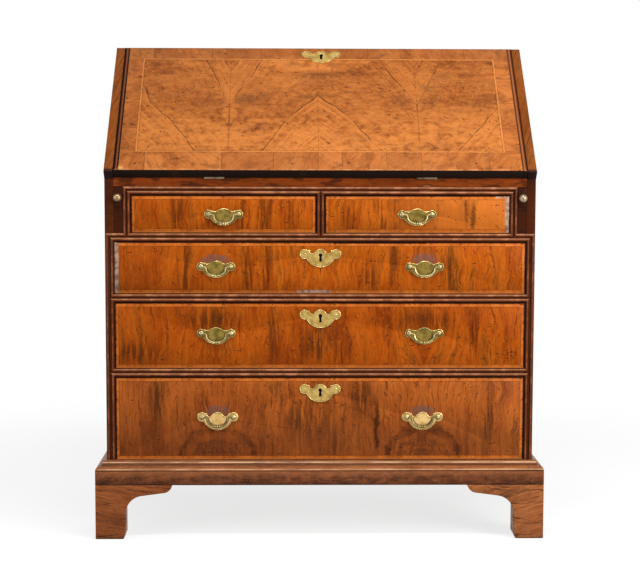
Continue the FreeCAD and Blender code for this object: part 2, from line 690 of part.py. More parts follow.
def fall_lock():
    """The fall's lock, flush with its inner face and top edge, with a channel for the bolt."""
    x = (FALL_LOCK_X - LOCK_W / 2, FALL_LOCK_X + LOCK_W / 2)
    lock = box(x, (FALL_LENGTH - LOCK_H, FALL_LENGTH), (0, LOCK_T))
    return to_slope(lock.cut(bolt_space((FALL_LENGTH - BOLT_H - 2 * RUN_CLEAR, FALL_LENGTH))))


def fall_lock_bolt():
    half = BOLT_W / 2
    low_t = (LOCK_T - BOLT_T) / 2
    s = (FALL_LENGTH - BOLT_H - RUN_CLEAR, FALL_LENGTH - RUN_CLEAR)
    return to_slope(box((FALL_LOCK_X - half, FALL_LOCK_X + half), s, (low_t, low_t + BOLT_T)))


def plate(pattern):
    """A handle plate about the middle of its posts, standing on Y 0 and facing the front."""
    post_x, lobe, rise, drop, shares = pattern
    half = post_x + lobe
    spur, notch, flank = [(share[0] * half, share[1] * rise) for share in shares]
    low_turn = math.radians(LOBE_LOW_DEG)
    high_turn = math.radians(LOBE_HIGH_DEG)
    low = (post_x - lobe * math.sin(low_turn), -lobe * math.cos(low_turn))
    high = (post_x - lobe * math.sin(high_turn), lobe * math.cos(high_turn))

    def left(p):
        return (-p[0], p[1])

    steps = [((0, -drop), low), ((half, 0), high), spur, (notch, flank), ((0, rise), left(flank)),
             (left(notch), left(spur)), left(high), ((-half, 0), left(low))]
    return face(across_y(0), left(low), steps).extrude(Y_AXIS * -PLATE_T)


def escutcheon():
    """A notched plate with a keyhole and a nail head on each lobe."""
    piece = plate(NOTCHED)
    opening = keyhole(PLATE_T)
    opening.translate(Y_AXIS * -PLATE_T)
    piece = piece.cut(opening)
    for x in (-NOTCHED[0], NOTCHED[0]):
        head = ball(NAIL_R, point(x, -PLATE_T, 0))
        front = box((x - NAIL_R, x + NAIL_R), (-PLATE_T - NAIL_R, -PLATE_T), (-NAIL_R, NAIL_R))
        piece = piece.fuse(head.common(front))
    return piece.removeSplitter()


def post():
    """A handle post: a domed pillar with an eye for the bail's pin and a shank through the drawer front."""
    length = POST_OUT + POST_CAP - POST_R
    pillar = rod(POST_R, point(0, -PLATE_T, 0), -Y_AXIS, length)
    cap = ball(POST_R, point(0, -PLATE_T - length, 0))
    shank = rod(SHANK_R, point(0, -PLATE_T, 0), Y_AXIS, PLATE_T + FRONT_T + NUT_T)
    eye = rod(BAIL_PIN_R + FIT_CLEAR, point(-POST_R - OVERRUN, BAIL_Y, 0), X_AXIS, 2 * (POST_R + OVERRUN))
    return pillar.fuse(cap).fuse(shank).removeSplitter().cut(eye)


def nut():
    """The square nut behind the drawer front."""
    block = box((-NUT_R, NUT_R), (FRONT_T, FRONT_T + NUT_T), (-NUT_R, NUT_R))
    return block.cut(rod(SHANK_R + FIT_CLEAR, point(0, FRONT_T, 0), Y_AXIS, NUT_T))


def handle(pattern, x, z):
    """A handle plate with its two posts and nuts, at a place on a drawer front."""
    post_x = pattern[0]
    back = plate(pattern)
    pieces = []
    for side in (-post_x, post_x):
        back = back.cut(rod(SHANK_R + FIT_CLEAR, point(side, 0, 0), -Y_AXIS, PLATE_T))
        for piece in (post(), nut()):
            piece.translate(X_AXIS * side)
            pieces.append(piece)
    pieces.append(back)
    for piece in pieces:
        piece.translate(point(x, 0, z))
    return pieces


def bail(pattern, x, z):
    """A swinging bail: pins in the posts, a neck at each, a swept loop between and a knop at its foot."""
    post_x = pattern[0]
    start_x = post_x - POST_R - BAIL_GAP
    neck = BAIL_NECK_SHARE * post_x
    turn_x = start_x - neck
    elbow = 2 * BAIL_R
    side_x = turn_x - elbow
    corner = BAIL_CORNER_SHARE * post_x
    swing = BAIL_TURN_SHARE * math.pi / 2

    def around(centre, radius, angle):
        return (centre[0] + radius * math.cos(angle), centre[1] + radius * math.sin(angle))

    elbow_centre = (turn_x, -elbow)
    elbow_via = around(elbow_centre, elbow, math.pi - math.pi / 4)
    elbow_end = (side_x, -elbow)
    corner_centre = (side_x - corner, -elbow)
    corner_via = around(corner_centre, corner, -swing / 2)
    corner_end = around(corner_centre, corner, -swing)
    foot_r = corner_end[0] / math.cos(swing)
    foot = (0, corner_end[1] + foot_r * math.sin(swing) - foot_r)

    def left(p):
        return (-p[0], p[1])

    place = across_y(BAIL_Y)
    right_half = [((start_x, 0), None, (turn_x, 0)), ((turn_x, 0), elbow_via, elbow_end),
                  (elbow_end, corner_via, corner_end)]
    edges = []
    for a, via, b in right_half:
        edges.append(stretch(place, a, via, b))
    edges.append(stretch(place, corner_end, foot, left(corner_end)))
    for a, via, b in reversed(right_half):
        edges.append(stretch(place, left(b), left(via) if via else None, left(a)))
    path = Part.Wire(edges)
    ring = Part.Wire(Part.makeCircle(BAIL_R, place((start_x, 0)), X_AXIS))
    loop = path.makePipeShell([ring], True, True)
    for side in (-1, 1):
        pin_x = side * start_x
        loop = loop.fuse(rod(BAIL_PIN_R, point(pin_x, BAIL_Y, 0), X_AXIS * side, POST_R + BAIL_GAP))
    knop = rod(KNOP_R, point(-KNOP_H / 2, BAIL_Y, foot[1]), X_AXIS, KNOP_H)
    loop = loop.fuse(knop)
    loop.translate(point(x, 0, z))
    return loop


def stretch(place, a, via, b):
    """One edge of a path: straight, or an arc through via."""
    if via is None:
        return Part.LineSegment(place(a), place(b)).toShape()
    return Part.Arc(place(a), place(via), place(b)).toShape()


def drawer_front_span(opening):
    """Low and high corners of a drawer's front in its opening, as (x pair, z pair)."""
    x0, x1, floor, height = opening
    return (x0 + DRAWER_GAP, x1 - DRAWER_GAP), (floor + DRAWER_GAP, floor + height - DRAWER_TOP_GAP)


def handle_z(opening, rise):
    low, high = drawer_front_span(opening)[1]
    return (low + high) / 2 + rise


def drawer_front(opening, pattern, handles, locked):
    """A drawer front, bored for its handle posts and, where it locks, cut for its lock and keyhole."""
    x, z = drawer_front_span(opening)
    front = box(x, (0, FRONT_T), z)
    for handle_x, height in handles:
        for side in (-pattern[0], pattern[0]):
            front = front.cut(rod(SHANK_R + FIT_CLEAR, point(handle_x + side, 0, height), Y_AXIS, FRONT_T))
    if locked:
        front = front.cut(box((-LOCK_W / 2, LOCK_W / 2), (FRONT_T - LOCK_T, FRONT_T), (z[1] - LOCK_H, z[1])))
        hole = keyhole(FRONT_T)
        hole.translate(Z_AXIS * (z[1] - ESCUTCHEON_DROP))
        front = front.cut(hole)
    return front


def drawer_box(opening):
    """The drawer behind its front: two sides, a back on the bottom, and the bottom between the sides."""
    x, z = drawer_front_span(opening)
    floor = opening[2]
    inner = (x[0] + DRAWER_SIDE_T, x[1] - DRAWER_SIDE_T)
    bottom = (floor + DRAWER_BOTTOM_LIFT, floor + DRAWER_BOTTOM_LIFT + DRAWER_BOTTOM_T)
    wall = (floor + RUN_CLEAR, z[1] - DRAWER_BOX_DROP)
    y = (FRONT_T, DRAWER_DEPTH)
    return [
        box((x[0], inner[0]), y, wall),
        box((inner[1], x[1]), y, wall),
        box(inner, (DRAWER_DEPTH - DRAWER_BACK_T, DRAWER_DEPTH), (bottom[1], wall[1])),
        box(inner, y, bottom),
    ]


def drawer_lock(opening):
    """The lock case let into the back of a drawer front, with a channel for its bolt."""
    top = drawer_front_span(opening)[1][1]
    half = BOLT_W / 2 + RUN_CLEAR
    y = lock_y()
    case = box((-LOCK_W / 2, LOCK_W / 2), (FRONT_T - LOCK_T, FRONT_T), (top - LOCK_H, top))
    channel = box((-half, half), (y[0] - RUN_CLEAR, y[1] + RUN_CLEAR), (top - BOLT_H - 2 * RUN_CLEAR, top))
    return case.cut(channel)


def drawer_lock_bolt(opening):
    top = drawer_front_span(opening)[1][1]
    return box((-BOLT_W / 2, BOLT_W / 2), lock_y(), (top - BOLT_H - RUN_CLEAR, top - RUN_CLEAR))


def drawer_escutcheon(opening):
    piece = escutcheon()
    piece.translate(Z_AXIS * (drawer_front_span(opening)[1][1] - ESCUTCHEON_DROP))
    return piece


def loper():
    """The right loper, bored at its front end for the knob's shank."""
    bar = box((SLOT_X + RUN_CLEAR, INNER_X - RUN_CLEAR), (0, LOPER_LENGTH), (LOPER_Z, LOPER_Z + LOPER_H))
    return bar.cut(rod(KNOB_SHANK_R + FIT_CLEAR, loper_knob_seat(), Y_AXIS, KNOB_SHANK + OVERRUN))


def loper_knob_seat():
    return point(LOPER_X, 0, LOPER_Z + LOPER_H / 2)


def loper_knob():
    """The right loper's turned knob: a neck, a round head and a shank."""
    seat = loper_knob_seat()
    neck = rod(KNOB_NECK_R, seat, -Y_AXIS, KNOB_NECK)
    head = ball(KNOB_R, seat - Y_AXIS * KNOB_R)
    x = (seat.x - KNOB_R, seat.x + KNOB_R)
    z = (seat.z - KNOB_R, seat.z + KNOB_R)
    front = box(x, (-2 * KNOB_R, -KNOB_NECK / 2), z)
    shank = rod(KNOB_SHANK_R, seat, Y_AXIS, KNOB_SHANK)
    return neck.fuse(head.common(front)).fuse(shank).removeSplitter()


def gallery():
    """Uprights, shelves and dividers of the interior, and the two stops that the closed fall lies on."""
    y = (GALLERY_SETBACK, BACK_Y)
    upright = box((CUPBOARD_X, GALLERY_X), y, (BED_TOP_Z, SHELL_TOP_Z))
    shelf = box((GALLERY_X, INNER_X), y, (SHELF_Z, SHELF_Z + GALLERY_T))
    middle = (GALLERY_X + INNER_X) / 2
    below = box((middle - GALLERY_T / 2, middle + GALLERY_T / 2), y, (BED_TOP_Z, SHELF_Z))
    stop_s = (STOP_END, FALL_LENGTH - STOP_END)
    stop = to_slope(box((INNER_X - STOP_W, INNER_X), stop_s, (-STOP_T - RUN_CLEAR, -RUN_CLEAR)))
    pieces = pair(upright) + pair(shelf) + pair(below) + pair(stop)
    for _, right in pigeonhole_spans()[:-1]:
        pieces += pair(box((right, right + DIVIDER_T), y, (SHELF_Z + GALLERY_T, SHELL_TOP_Z)))
    lid = box((-CUPBOARD_X, CUPBOARD_X), y, (CUPBOARD_Z, CUPBOARD_Z + GALLERY_T))
    pin = rod(DOOR_PIN_R + FIT_CLEAR, point(DOOR_AXIS_X, DOOR_AXIS_Y, CUPBOARD_Z), Z_AXIS, DOOR_PIN)
    return pieces + [lid.cut(pin)]


def pigeonhole_spans():
    """Left and right of each pigeonhole on the right-hand side, from the middle outwards."""
    width = (INNER_X - GALLERY_X - (PIGEONHOLES - 1) * DIVIDER_T) / PIGEONHOLES
    lefts = [GALLERY_X + i * (width + DIVIDER_T) for i in range(PIGEONHOLES)]
    return [(left, left + width) for left in lefts]


def valance(left, right):
    """A shaped board across the head of a pigeonhole, its lower edge cut to an arch."""
    low = SHELL_TOP_Z - VALANCE_H
    foot = VALANCE_FOOT_SHARE * (right - left)
    arch = ((left + right) / 2, low + VALANCE_ARCH_SHARE * VALANCE_H)
    steps = [(left + foot, low), (arch, (right - foot, low)), (right, low),
             (right, SHELL_TOP_Z), (left, SHELL_TOP_Z)]
    return face(across_y(GALLERY_SETBACK), (left, low), steps).extrude(Y_AXIS * VALANCE_T)


def gallery_valances():
    pieces = [valance(-CUPBOARD_X, CUPBOARD_X)]
    for left, right in pigeonhole_spans():
        pieces += pair(valance(left, right))
    return pieces


def small_knob(x, y, z):
    """A little turned knob on the face of an interior drawer or door."""
    neck = rod(SMALL_KNOB_NECK_R, point(x, y, z), -Y_AXIS, SMALL_KNOB_NECK)
    head = ball(SMALL_KNOB_R, point(x, y - SMALL_KNOB_NECK - SMALL_KNOB_NECK_R, z))
    return neck.fuse(head).removeSplitter()


def small_drawer_openings():
    """Left and right of each small drawer's place, from left to right."""
    middle = (GALLERY_X + INNER_X) / 2
    right = [(GALLERY_X, middle - GALLERY_T / 2), (middle + GALLERY_T / 2, INNER_X)]
    return [(-b, -a) for a, b in reversed(right)] + right


def small_drawer(left, right):
    """An interior drawer: front, two sides, back, bottom and a knob."""
    x = (left + DRAWER_GAP, right - DRAWER_GAP)
    inner = (x[0] + SMALL_WALL_T, x[1] - SMALL_WALL_T)
    front_y = GALLERY_SETBACK
    box_y = (front_y + SMALL_FRONT_T, front_y + SMALL_DRAWER_DEPTH)
    z = (BED_TOP_Z + RUN_CLEAR, SHELF_Z - DRAWER_GAP)
    floor = (z[0], z[0] + SMALL_WALL_T)
    wall = (z[0], z[1] - SMALL_WALL_T)
    return [
        box(x, (front_y, box_y[0]), z),
        box((x[0], inner[0]), box_y, wall),
        box((inner[1], x[1]), box_y, wall),
        box(inner, (box_y[1] - SMALL_WALL_T, box_y[1]), (floor[1], wall[1])),
        box(inner, box_y, floor),
        small_knob((left + right) / 2, front_y, (z[0] + z[1]) / 2),
    ]


def cupboard_door():
    """The cupboard door, rounded along its pivot edge and bored top and bottom for the pins, with a knob."""
    z = (BED_TOP_Z + DOOR_GAP, CUPBOARD_Z - DOOR_GAP)
    right = CUPBOARD_X - DOOR_GAP
    y = (GALLERY_SETBACK, GALLERY_SETBACK + DOOR_T)
    foot = point(DOOR_AXIS_X, DOOR_AXIS_Y, z[0])
    leaf = box((DOOR_AXIS_X, right), y, z).fuse(rod(DOOR_T / 2, foot, Z_AXIS, z[1] - z[0])).removeSplitter()
    for start in (BED_TOP_Z, CUPBOARD_Z - DOOR_PIN - FIT_CLEAR):
        pin_foot = point(DOOR_AXIS_X, DOOR_AXIS_Y, start)
        leaf = leaf.cut(rod(DOOR_PIN_R + FIT_CLEAR, pin_foot, Z_AXIS, DOOR_PIN + FIT_CLEAR))
    knob_x = DOOR_AXIS_X + DOOR_KNOB_SHARE[0] * (right - DOOR_AXIS_X)
    knob_z = z[0] + DOOR_KNOB_SHARE[1] * (z[1] - z[0])
    return [leaf, small_knob(knob_x, GALLERY_SETBACK, knob_z)]


def case_nodes():
    side = case_side()
    front = front_foot()
    back = back_foot()
    return {
        "case_side_left": [mirrored(side)],
        "case_side_right": [side],
        "case_top": [case_top()],
        "case_bottom": [case_bottom()],
        "back_boards": back_boards(),
        "writing_bed": [writing_bed()],
        "drawer_rails": drawer_rails(),
        "dust_boards": dust_boards(),
        "upper_partitions": upper_partitions(),
        "carcase_beads": carcase_beads(),
        "base_mouldings": base_mouldings(),
        "plinth_aprons": plinth_aprons(),
        "foot_front_left": [mirrored(piece) for piece in front],
        "foot_front_right": front,
        "foot_back_left": [mirrored(piece) for piece in back],
        "foot_back_right": back,
        "case_hinge_leaves": case_hinge_leaves(),
        "gallery": gallery(),
        "gallery_valances": gallery_valances(),
    }


def fall_nodes():
    plate_on_fall = lay_on_fall(escutcheon(), FALL_LOCK_X, FALL_LENGTH - FALL_ESCUTCHEON_DROP, FALL_T)
    return {
        "fall_board": [fall_board()],
        "fall_edges": fall_edges(),
        "fall_hinge_leaves": fall_hinge_leaves(),
        "fall_lock": [fall_lock()],
        "fall_escutcheon": [to_slope(plate_on_fall)],
        "fall_lock_bolt": [fall_lock_bolt()],
    }


def loper_nodes():
    return {
        "loper_left": [mirrored(loper())],
        "loper_right": [loper()],
        "loper_knob_left": [mirrored(loper_knob())],
        "loper_knob_right": [loper_knob()],
    }


def short_drawer_nodes():
    nodes = {}
    for name, (opening, handle_x) in SHORT_DRAWERS.items():
        z = handle_z(opening, SHORT_HANDLE_RISE)
        nodes[name + "_front"] = [drawer_front(opening, SHOULDERED, [(handle_x, z)], False)]
        nodes[name + "_box"] = drawer_box(opening)
        nodes[name + "_handle"] = handle(SHOULDERED, handle_x, z)
        nodes[name + "_bail"] = [bail(SHOULDERED, handle_x, z)]
    return nodes


def long_drawer_nodes():
    nodes = {}
    for name, (opening, handle_x, rise, pattern) in LONG_DRAWERS.items():
        z = handle_z(opening, rise)
        handles = [(-handle_x, z), (handle_x, z)]
        brasses = [drawer_escutcheon(opening), drawer_lock(opening)]
        for x, height in handles:
            brasses += handle(pattern, x, height)
        nodes[name + "_front"] = [drawer_front(opening, pattern, handles, True)]
        nodes[name + "_box"] = drawer_box(opening)
        nodes[name + "_brasses"] = brasses
        nodes[name + "_bail_left"] = [bail(pattern, -handle_x, z)]
        nodes[name + "_bail_right"] = [bail(pattern, handle_x, z)]
        nodes[name + "_lock_bolt"] = [drawer_lock_bolt(opening)]
    return nodes


def interior_nodes():
    nodes = {"cupboard_door": cupboard_door()}
    for i, (left, right) in enumerate(small_drawer_openings()):
        nodes[f"small_drawer_{i + 1}"] = small_drawer(left, right)
    return nodes


def save(name, solids):
    """Writes one node, moved so that the origin lies under the middle of the whole."""
    shape = Part.makeCompound(solids) if len(solids) > 1 else solids[0].copy()
    shape.translate(point(0, -DEPTH_MIDDLE, 0))
    shape.exportStep(os.path.join("parts", name + ".step"))


os.makedirs("parts", exist_ok=True)
all_nodes = {**case_nodes(), **fall_nodes(), **loper_nodes(), **short_drawer_nodes(), **long_drawer_nodes(),
             **interior_nodes()}
for node_name, node_solids in all_nodes.items():
    save(node_name, node_solids)
print(len(all_nodes), "nodes")
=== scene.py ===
import bpy
import json
import math
from mathutils import Matrix, Vector


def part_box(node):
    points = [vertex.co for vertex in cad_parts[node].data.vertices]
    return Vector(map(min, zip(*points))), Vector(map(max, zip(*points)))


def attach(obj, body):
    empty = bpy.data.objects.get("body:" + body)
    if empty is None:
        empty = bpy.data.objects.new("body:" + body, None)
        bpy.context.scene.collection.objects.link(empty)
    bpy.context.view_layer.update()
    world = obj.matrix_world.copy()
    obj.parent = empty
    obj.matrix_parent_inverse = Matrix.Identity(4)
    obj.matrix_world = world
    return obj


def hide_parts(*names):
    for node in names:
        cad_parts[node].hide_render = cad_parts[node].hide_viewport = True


# A walnut slope-front bureau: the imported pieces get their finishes, and worn edges, cast brasses, nails and
# screws are modelled over them. Lengths are metres, with X across, Y from front to back and Z up.

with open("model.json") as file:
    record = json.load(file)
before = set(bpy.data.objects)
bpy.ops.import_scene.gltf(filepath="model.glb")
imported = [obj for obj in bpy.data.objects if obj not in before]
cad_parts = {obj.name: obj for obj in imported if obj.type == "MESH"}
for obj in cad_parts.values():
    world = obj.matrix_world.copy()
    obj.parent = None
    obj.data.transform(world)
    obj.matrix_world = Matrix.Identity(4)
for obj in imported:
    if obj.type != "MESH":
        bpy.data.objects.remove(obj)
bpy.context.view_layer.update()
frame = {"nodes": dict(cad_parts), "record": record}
packed = frame["nodes"]

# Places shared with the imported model
FRONT_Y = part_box("drawer_rails")[0][1]
HINGE_OUT = 0.0032
HINGE_Y = FRONT_Y - HINGE_OUT
HINGE_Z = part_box("writing_bed")[1][2]
RAKE = math.radians(44)
FALL_T = 0.022
RAKE_T = (HINGE_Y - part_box("case_side_left")[0][1]) / math.sin(RAKE)
FALL_LOCK_X = 0.005
FALL_RISE = 0.288
FALL_LENGTH = (FALL_RISE - FALL_T * math.cos(RAKE)) / math.sin(RAKE)
FALL_ESCUTCHEON_DROP = 0.022
ESCUTCHEON_DROP = 0.024
KEYWAY_HALF = 0.006
KEYWAY_RISE = 0.004
KEYWAY_DROP = 0.019
REPAIR_Z = 0.742
REPAIR_HALF = 0.0165
REPAIR_RISE = 0.018
NOSE_Z = 0.779
SMALL_FRONT_Y = 0.0475
PLATE_T = 0.0018
RIM_INSET = 0.0010
GROOVE_SINK = 0.00015
POST_OUT = 0.0056
FRONT_T = 0.019
BAND_W = 0.0075
BAIL_R = 0.0022
BAIL_SHADOW = 0.0012
KNOP_PITCH = 0.0042
DOVETAIL_PITCH = 0.036
DOVETAIL_LENGTH = 0.013
BACK_LOW, BACK_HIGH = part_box("back_boards")
BACK_PLANKS = 4
PLANK_W = (BACK_HIGH[0] - BACK_LOW[0]) / BACK_PLANKS
NAIL_R = 0.0042
NAIL_PROUD = 0.0005
HEAD_SINK = 0.0006
NAIL_SHARES = (0.14, 0.86)
NAIL_LEVELS = (BACK_LOW[2] + 0.016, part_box("writing_bed")[0][2] + 0.011, BACK_HIGH[2] - 0.014)
HINGE_X = 0.225
HINGE_SCREWS = ((-0.013, 0.014), (0.013, 0.014), (0.0, 0.029))
SCREW_R = 0.0034
SCREW_SLOT = 0.0007
SAME_PLACE = 0.000002
WORN_TURN = 40

# Turned profiles as (radius, height), and the bail's knop as (place, radius) of its rings
POST_RINGS = ((0.0046, -0.0002), (0.0047, 0.0004), (0.0040, 0.0009), (0.0030, 0.0013), (0.0028, 0.0026),
              (0.0031, 0.0040))
KNOB_RINGS = ((0.0062, 0.0), (0.0062, 0.0008), (0.0042, 0.0014), (0.0040, 0.0026), (0.0064, 0.0042),
              (0.0084, 0.0066))
KNOP_RINGS = ((0, 0.0033), (-1, 0.0031), (1, 0.0031), (-2, 0.0028), (2, 0.0028))

# Handle patterns: half the posts' spacing, lobe radius, rise, drop, and the outline's turns as shares
SHOULDERED = (0.032, 0.0092, 0.0126, 0.024, ((0.56, 0.58), (0.43, 0.50), (0.32, 0.66)))
NOTCHED = (0.0335, 0.0105, 0.0108, 0.0285, ((0.51, 0.74), (0.39, 0.06), (0.27, 0.42)))
LOBE_LOW = math.radians(20)
LOBE_HIGH = math.radians(35)

# Handles: drawer, handle's x and pattern
LONG_HANDLES = {"long_drawer_1": (0.222, SHOULDERED), "long_drawer_2": (0.222, SHOULDERED),
                "long_drawer_3": (0.2195, NOTCHED)}
SHORT_HANDLES = {"short_drawer_left": -0.205, "short_drawer_right": 0.205}


class Line:
    """One output of a node, so that sums of it can be written out."""

    def __init__(self, nodes, socket):
        self.nodes = nodes
        self.socket = socket

    def sum(self, operation, first, second=None):
        terms = {0: first} if second is None else {0: first, 1: second}
        return self.nodes.node("Math", {"operation": operation}, terms)

    def other(self, output):
        return Line(self.nodes, self.socket.node.outputs[output])

    def __add__(self, value):
        return self.sum("ADD", self, value)

    def __radd__(self, value):
        return self.sum("ADD", value, self)

    def __sub__(self, value):
        return self.sum("SUBTRACT", self, value)

    def __rsub__(self, value):
        return self.sum("SUBTRACT", value, self)

    def __mul__(self, value):
        return self.sum("MULTIPLY", self, value)

    def __rmul__(self, value):
        return self.sum("MULTIPLY", value, self)

    def __truediv__(self, value):
        return self.sum("DIVIDE", self, value)

    def __abs__(self):
        return self.sum("ABSOLUTE", self)

    def least(self, value):
        return self.sum("MINIMUM", self, value)

    def most(self, value):
        return self.sum("MAXIMUM", self, value)

    def root(self):
        return self.sum("SQRT", self)

    def whole(self):
        return self.sum("FLOOR", self)

    def above(self, value):
        return self.sum("GREATER_THAN", self, value)

    def fold(self, length):
        """Runs to and fro between 0 and a length, as leaves of veneer opened like a book."""
        return self.sum("PINGPONG", self, length)


class Nodes:
    """A tree of shader nodes."""

    def __init__(self, tree):
        self.tree = tree

    def node(self, kind, settings, sockets, output=0):
        """One node: its settings first, then the values or lines of its sockets."""
        made = self.tree.nodes.new("ShaderNode" + kind)
        for name, value in settings.items():
            if name == "stops":
                for stop in value[2:]:
                    made.color_ramp.elements.new(stop[0])
                for element, stop in zip(made.color_ramp.elements, value):
                    element.position = stop[0]
                    element.color = (*stop[1], 1.0)
            else:
                setattr(made, name, value)
        for name, value in sockets.items():
            self.feed(made.inputs[name], value)
        return Line(self, made.outputs[output])

    def feed(self, socket, value):
        if isinstance(value, Line):
            self.tree.links.new(value.socket, socket)
        elif isinstance(value, tuple) and socket.type == "RGBA":
            socket.default_value = (*value, 1.0)
        else:
            socket.default_value = value

    def looked_at(self):
        """1 for what the camera sees straight, in a reflection or through something clear."""
        ray = self.node("LightPath", {}, {}, "Is Camera Ray")
        return ray.most(ray.other("Is Glossy Ray")).most(ray.other("Is Transmission Ray"))


class Finish(Nodes):
    """A procedural finish on a piece's own coordinates."""

    def __init__(self, name, coat=0.0, coat_roughness=0.3, level=0.03):
        self.material = bpy.data.materials.new(name)
        self.material.use_nodes = True
        super().__init__(self.material.node_tree)
        self.shader = self.tree.nodes["Principled BSDF"]
        self.shader.inputs["Coat Weight"].default_value = coat
        self.shader.inputs["Coat Roughness"].default_value = coat_roughness
        self.shader.inputs["Specular IOR Level"].default_value = level
        place = self.node("TexCoord", {}, {}, "Object")
        self.x = self.node("SeparateXYZ", {}, {"Vector": place}, "X")
        self.y = self.x.other("Y")
        self.z = self.x.other("Z")
        self.lines = {"x": self.x, "y": self.y, "z": self.z}

    def vector(self, x, y, z):
        return self.node("CombineXYZ", {}, {"X": x, "Y": y, "Z": z})

    def cloud(self, x, y, z, detail=2.0, roughness=0.5):
        """Noise with one feature to each unit of the three lines."""
        return self.node("TexNoise", {}, {"Vector": self.vector(x, y, z), "Scale": 1.0, "Detail": detail,
                                          "Roughness": roughness})

    def rise(self, value, low, high):
        """0 below low, 1 above high and a smooth rise between."""
        return self.node("MapRange", {"interpolation_type": "SMOOTHSTEP"},
                         {"Value": value, "From Min": low, "From Max": high})

    def near(self, value, width):
        """1 where a line is 0, fading out at the width to each side."""
        return 1 - self.rise(abs(value), width * 0.25, width)

    def mix(self, share, first, second):
        return self.node("Mix", {"data_type": "RGBA"}, {"Factor": share, 6: first, 7: second}, 2)

    def ramp(self, value, stops):
        return self.node("ValToRGB", {"stops": stops}, {"Fac": value})

    def chance(self, value):
        """A fixed random number for each whole value."""
        return self.node("TexWhiteNoise", {"noise_dimensions": "1D"}, {"W": value})

    def bearing(self, rise, run):
        return self.node("Math", {"operation": "ARCTAN2"}, {0: rise, 1: run})

    def specks(self, a, b, spacing, size, share):
        """1 in small round marks: one to a cell of the spacing, in a share of the cells."""
        cell = self.node("TexVoronoi", {"voronoi_dimensions": "2D"},
                         {"Vector": self.vector(a, b, 0.0), "Scale": 1 / spacing})
        pick = self.node("SeparateColor", {}, {"Color": cell.other("Color")}, "Red")
        return (1 - self.rise(cell, size / spacing * 0.6, size / spacing)) * pick.above(1 - share)

    def spot(self, a, b, middle, half, ragged, soft=0.35):
        """1 inside an oval of these half widths with a ragged edge."""
        u = (a - middle[0]) / half[0]
        v = (b - middle[1]) / half[1]
        edge = self.cloud(a * 160, b * 160, 0.0, 2.0) - 0.5
        reach = (u * u + v * v).root() + edge * ragged
        return 1 - self.rise(reach, 1 - soft, 1 + soft)

    def patch(self, a, b, low, high, ragged=0.0006):
        """1 inside an upright oblong with a slightly ragged edge."""
        edge = (self.cloud(a * 300, b * 300, 0.0, 2.0) - 0.5) * ragged * 4
        inside = (a - low[0]).least(high[0] - a).least(b - low[1]).least(high[1] - b) + edge
        return self.rise(inside, 0.0, ragged)

    def done(self, colour, roughness, height=None, depth=0.0002, strength=0.5):
        self.feed(self.shader.inputs["Base Color"], colour)
        self.feed(self.shader.inputs["Roughness"], roughness)
        if height is not None:
            bump = self.node("Bump", {}, {"Strength": strength, "Distance": depth, "Height": height})
            self.feed(self.shader.inputs["Normal"], bump)
        return self.material


# Walnut tones from the palest to the darkest, for each part of the desk
FALL_TONES = ((0.52, 0.170, 0.038), (0.31, 0.086, 0.017), (0.14, 0.034, 0.007), (0.045, 0.013, 0.004))
CROSS_TONES = ((0.62, 0.215, 0.055), (0.45, 0.136, 0.030), (0.27, 0.070, 0.015), (0.06, 0.018, 0.006))
DRAWER_TONES = ((0.60, 0.150, 0.010), (0.40, 0.075, 0.003), (0.22, 0.033, 0.002), (0.050, 0.011, 0.002))
LONG_2_TONES = ((0.56, 0.132, 0.008), (0.38, 0.069, 0.003), (0.21, 0.032, 0.002), (0.045, 0.010, 0.002))
LOW_DRAWER_TONES = ((0.56, 0.150, 0.024), (0.35, 0.079, 0.011), (0.18, 0.039, 0.008), (0.040, 0.011, 0.003))
CASE_TONES = ((0.15, 0.028, 0.004), (0.085, 0.014, 0.002), (0.045, 0.008, 0.001), (0.015, 0.004, 0.001))
RAIL_TONES = ((0.38, 0.074, 0.007), (0.23, 0.040, 0.004), (0.12, 0.020, 0.002), (0.030, 0.007, 0.002))
SLOPE_TONES = ((0.33, 0.094, 0.014), (0.20, 0.050, 0.007), (0.11, 0.026, 0.004), (0.034, 0.010, 0.003))
BEAD_TONES = ((0.12, 0.026, 0.006), (0.07, 0.014, 0.003), (0.04, 0.008, 0.002), (0.012, 0.003, 0.001))
MOULDING_TONES = ((0.42, 0.160, 0.056), (0.27, 0.092, 0.030), (0.16, 0.050, 0.016), (0.045, 0.016, 0.007))
APRON_TONES = ((0.24, 0.076, 0.028), (0.15, 0.044, 0.016), (0.09, 0.025, 0.009), (0.030, 0.010, 0.005))
# The feet: partly each foot's own tone and partly painted light, the left foot's tones darker as shaded and the
# right foot's paler as lit from the right.
LEFT_FOOT_SHADED_TONES = ((0.42, 0.130, 0.036), (0.24, 0.066, 0.018), (0.13, 0.034, 0.010), (0.030, 0.010, 0.005))
RIGHT_FOOT_LIT_TONES = ((0.62, 0.220, 0.068), (0.38, 0.120, 0.036), (0.20, 0.058, 0.018), (0.030, 0.010, 0.005))
SIDE_TONES = ((0.30, 0.075, 0.014), (0.19, 0.043, 0.008), (0.105, 0.022, 0.004), (0.030, 0.008, 0.002))
INNER_TONES = ((0.36, 0.135, 0.042), (0.25, 0.082, 0.024), (0.15, 0.046, 0.014), (0.05, 0.018, 0.008))
BAND_LIGHT = (0.58, 0.155, 0.022)
BAND_DARK = (0.34, 0.068, 0.007)
STRING_LIGHT = (0.64, 0.240, 0.060)
INK = (0.010, 0.005, 0.004)
# Painted shade: the black seen inside keyholes.
KEYHOLE_SHADE = (0.002, 0.002, 0.002)
# Dark of dirt on brass, also used for painted shade on the plates.
BRASS_DIRT_AND_SHADE = (0.045, 0.030, 0.010)
GREY_WEAR = (0.42, 0.29, 0.215)
GREY_DIRT = (0.20, 0.115, 0.075)
LILAC_GHOST = (0.15, 0.080, 0.064)

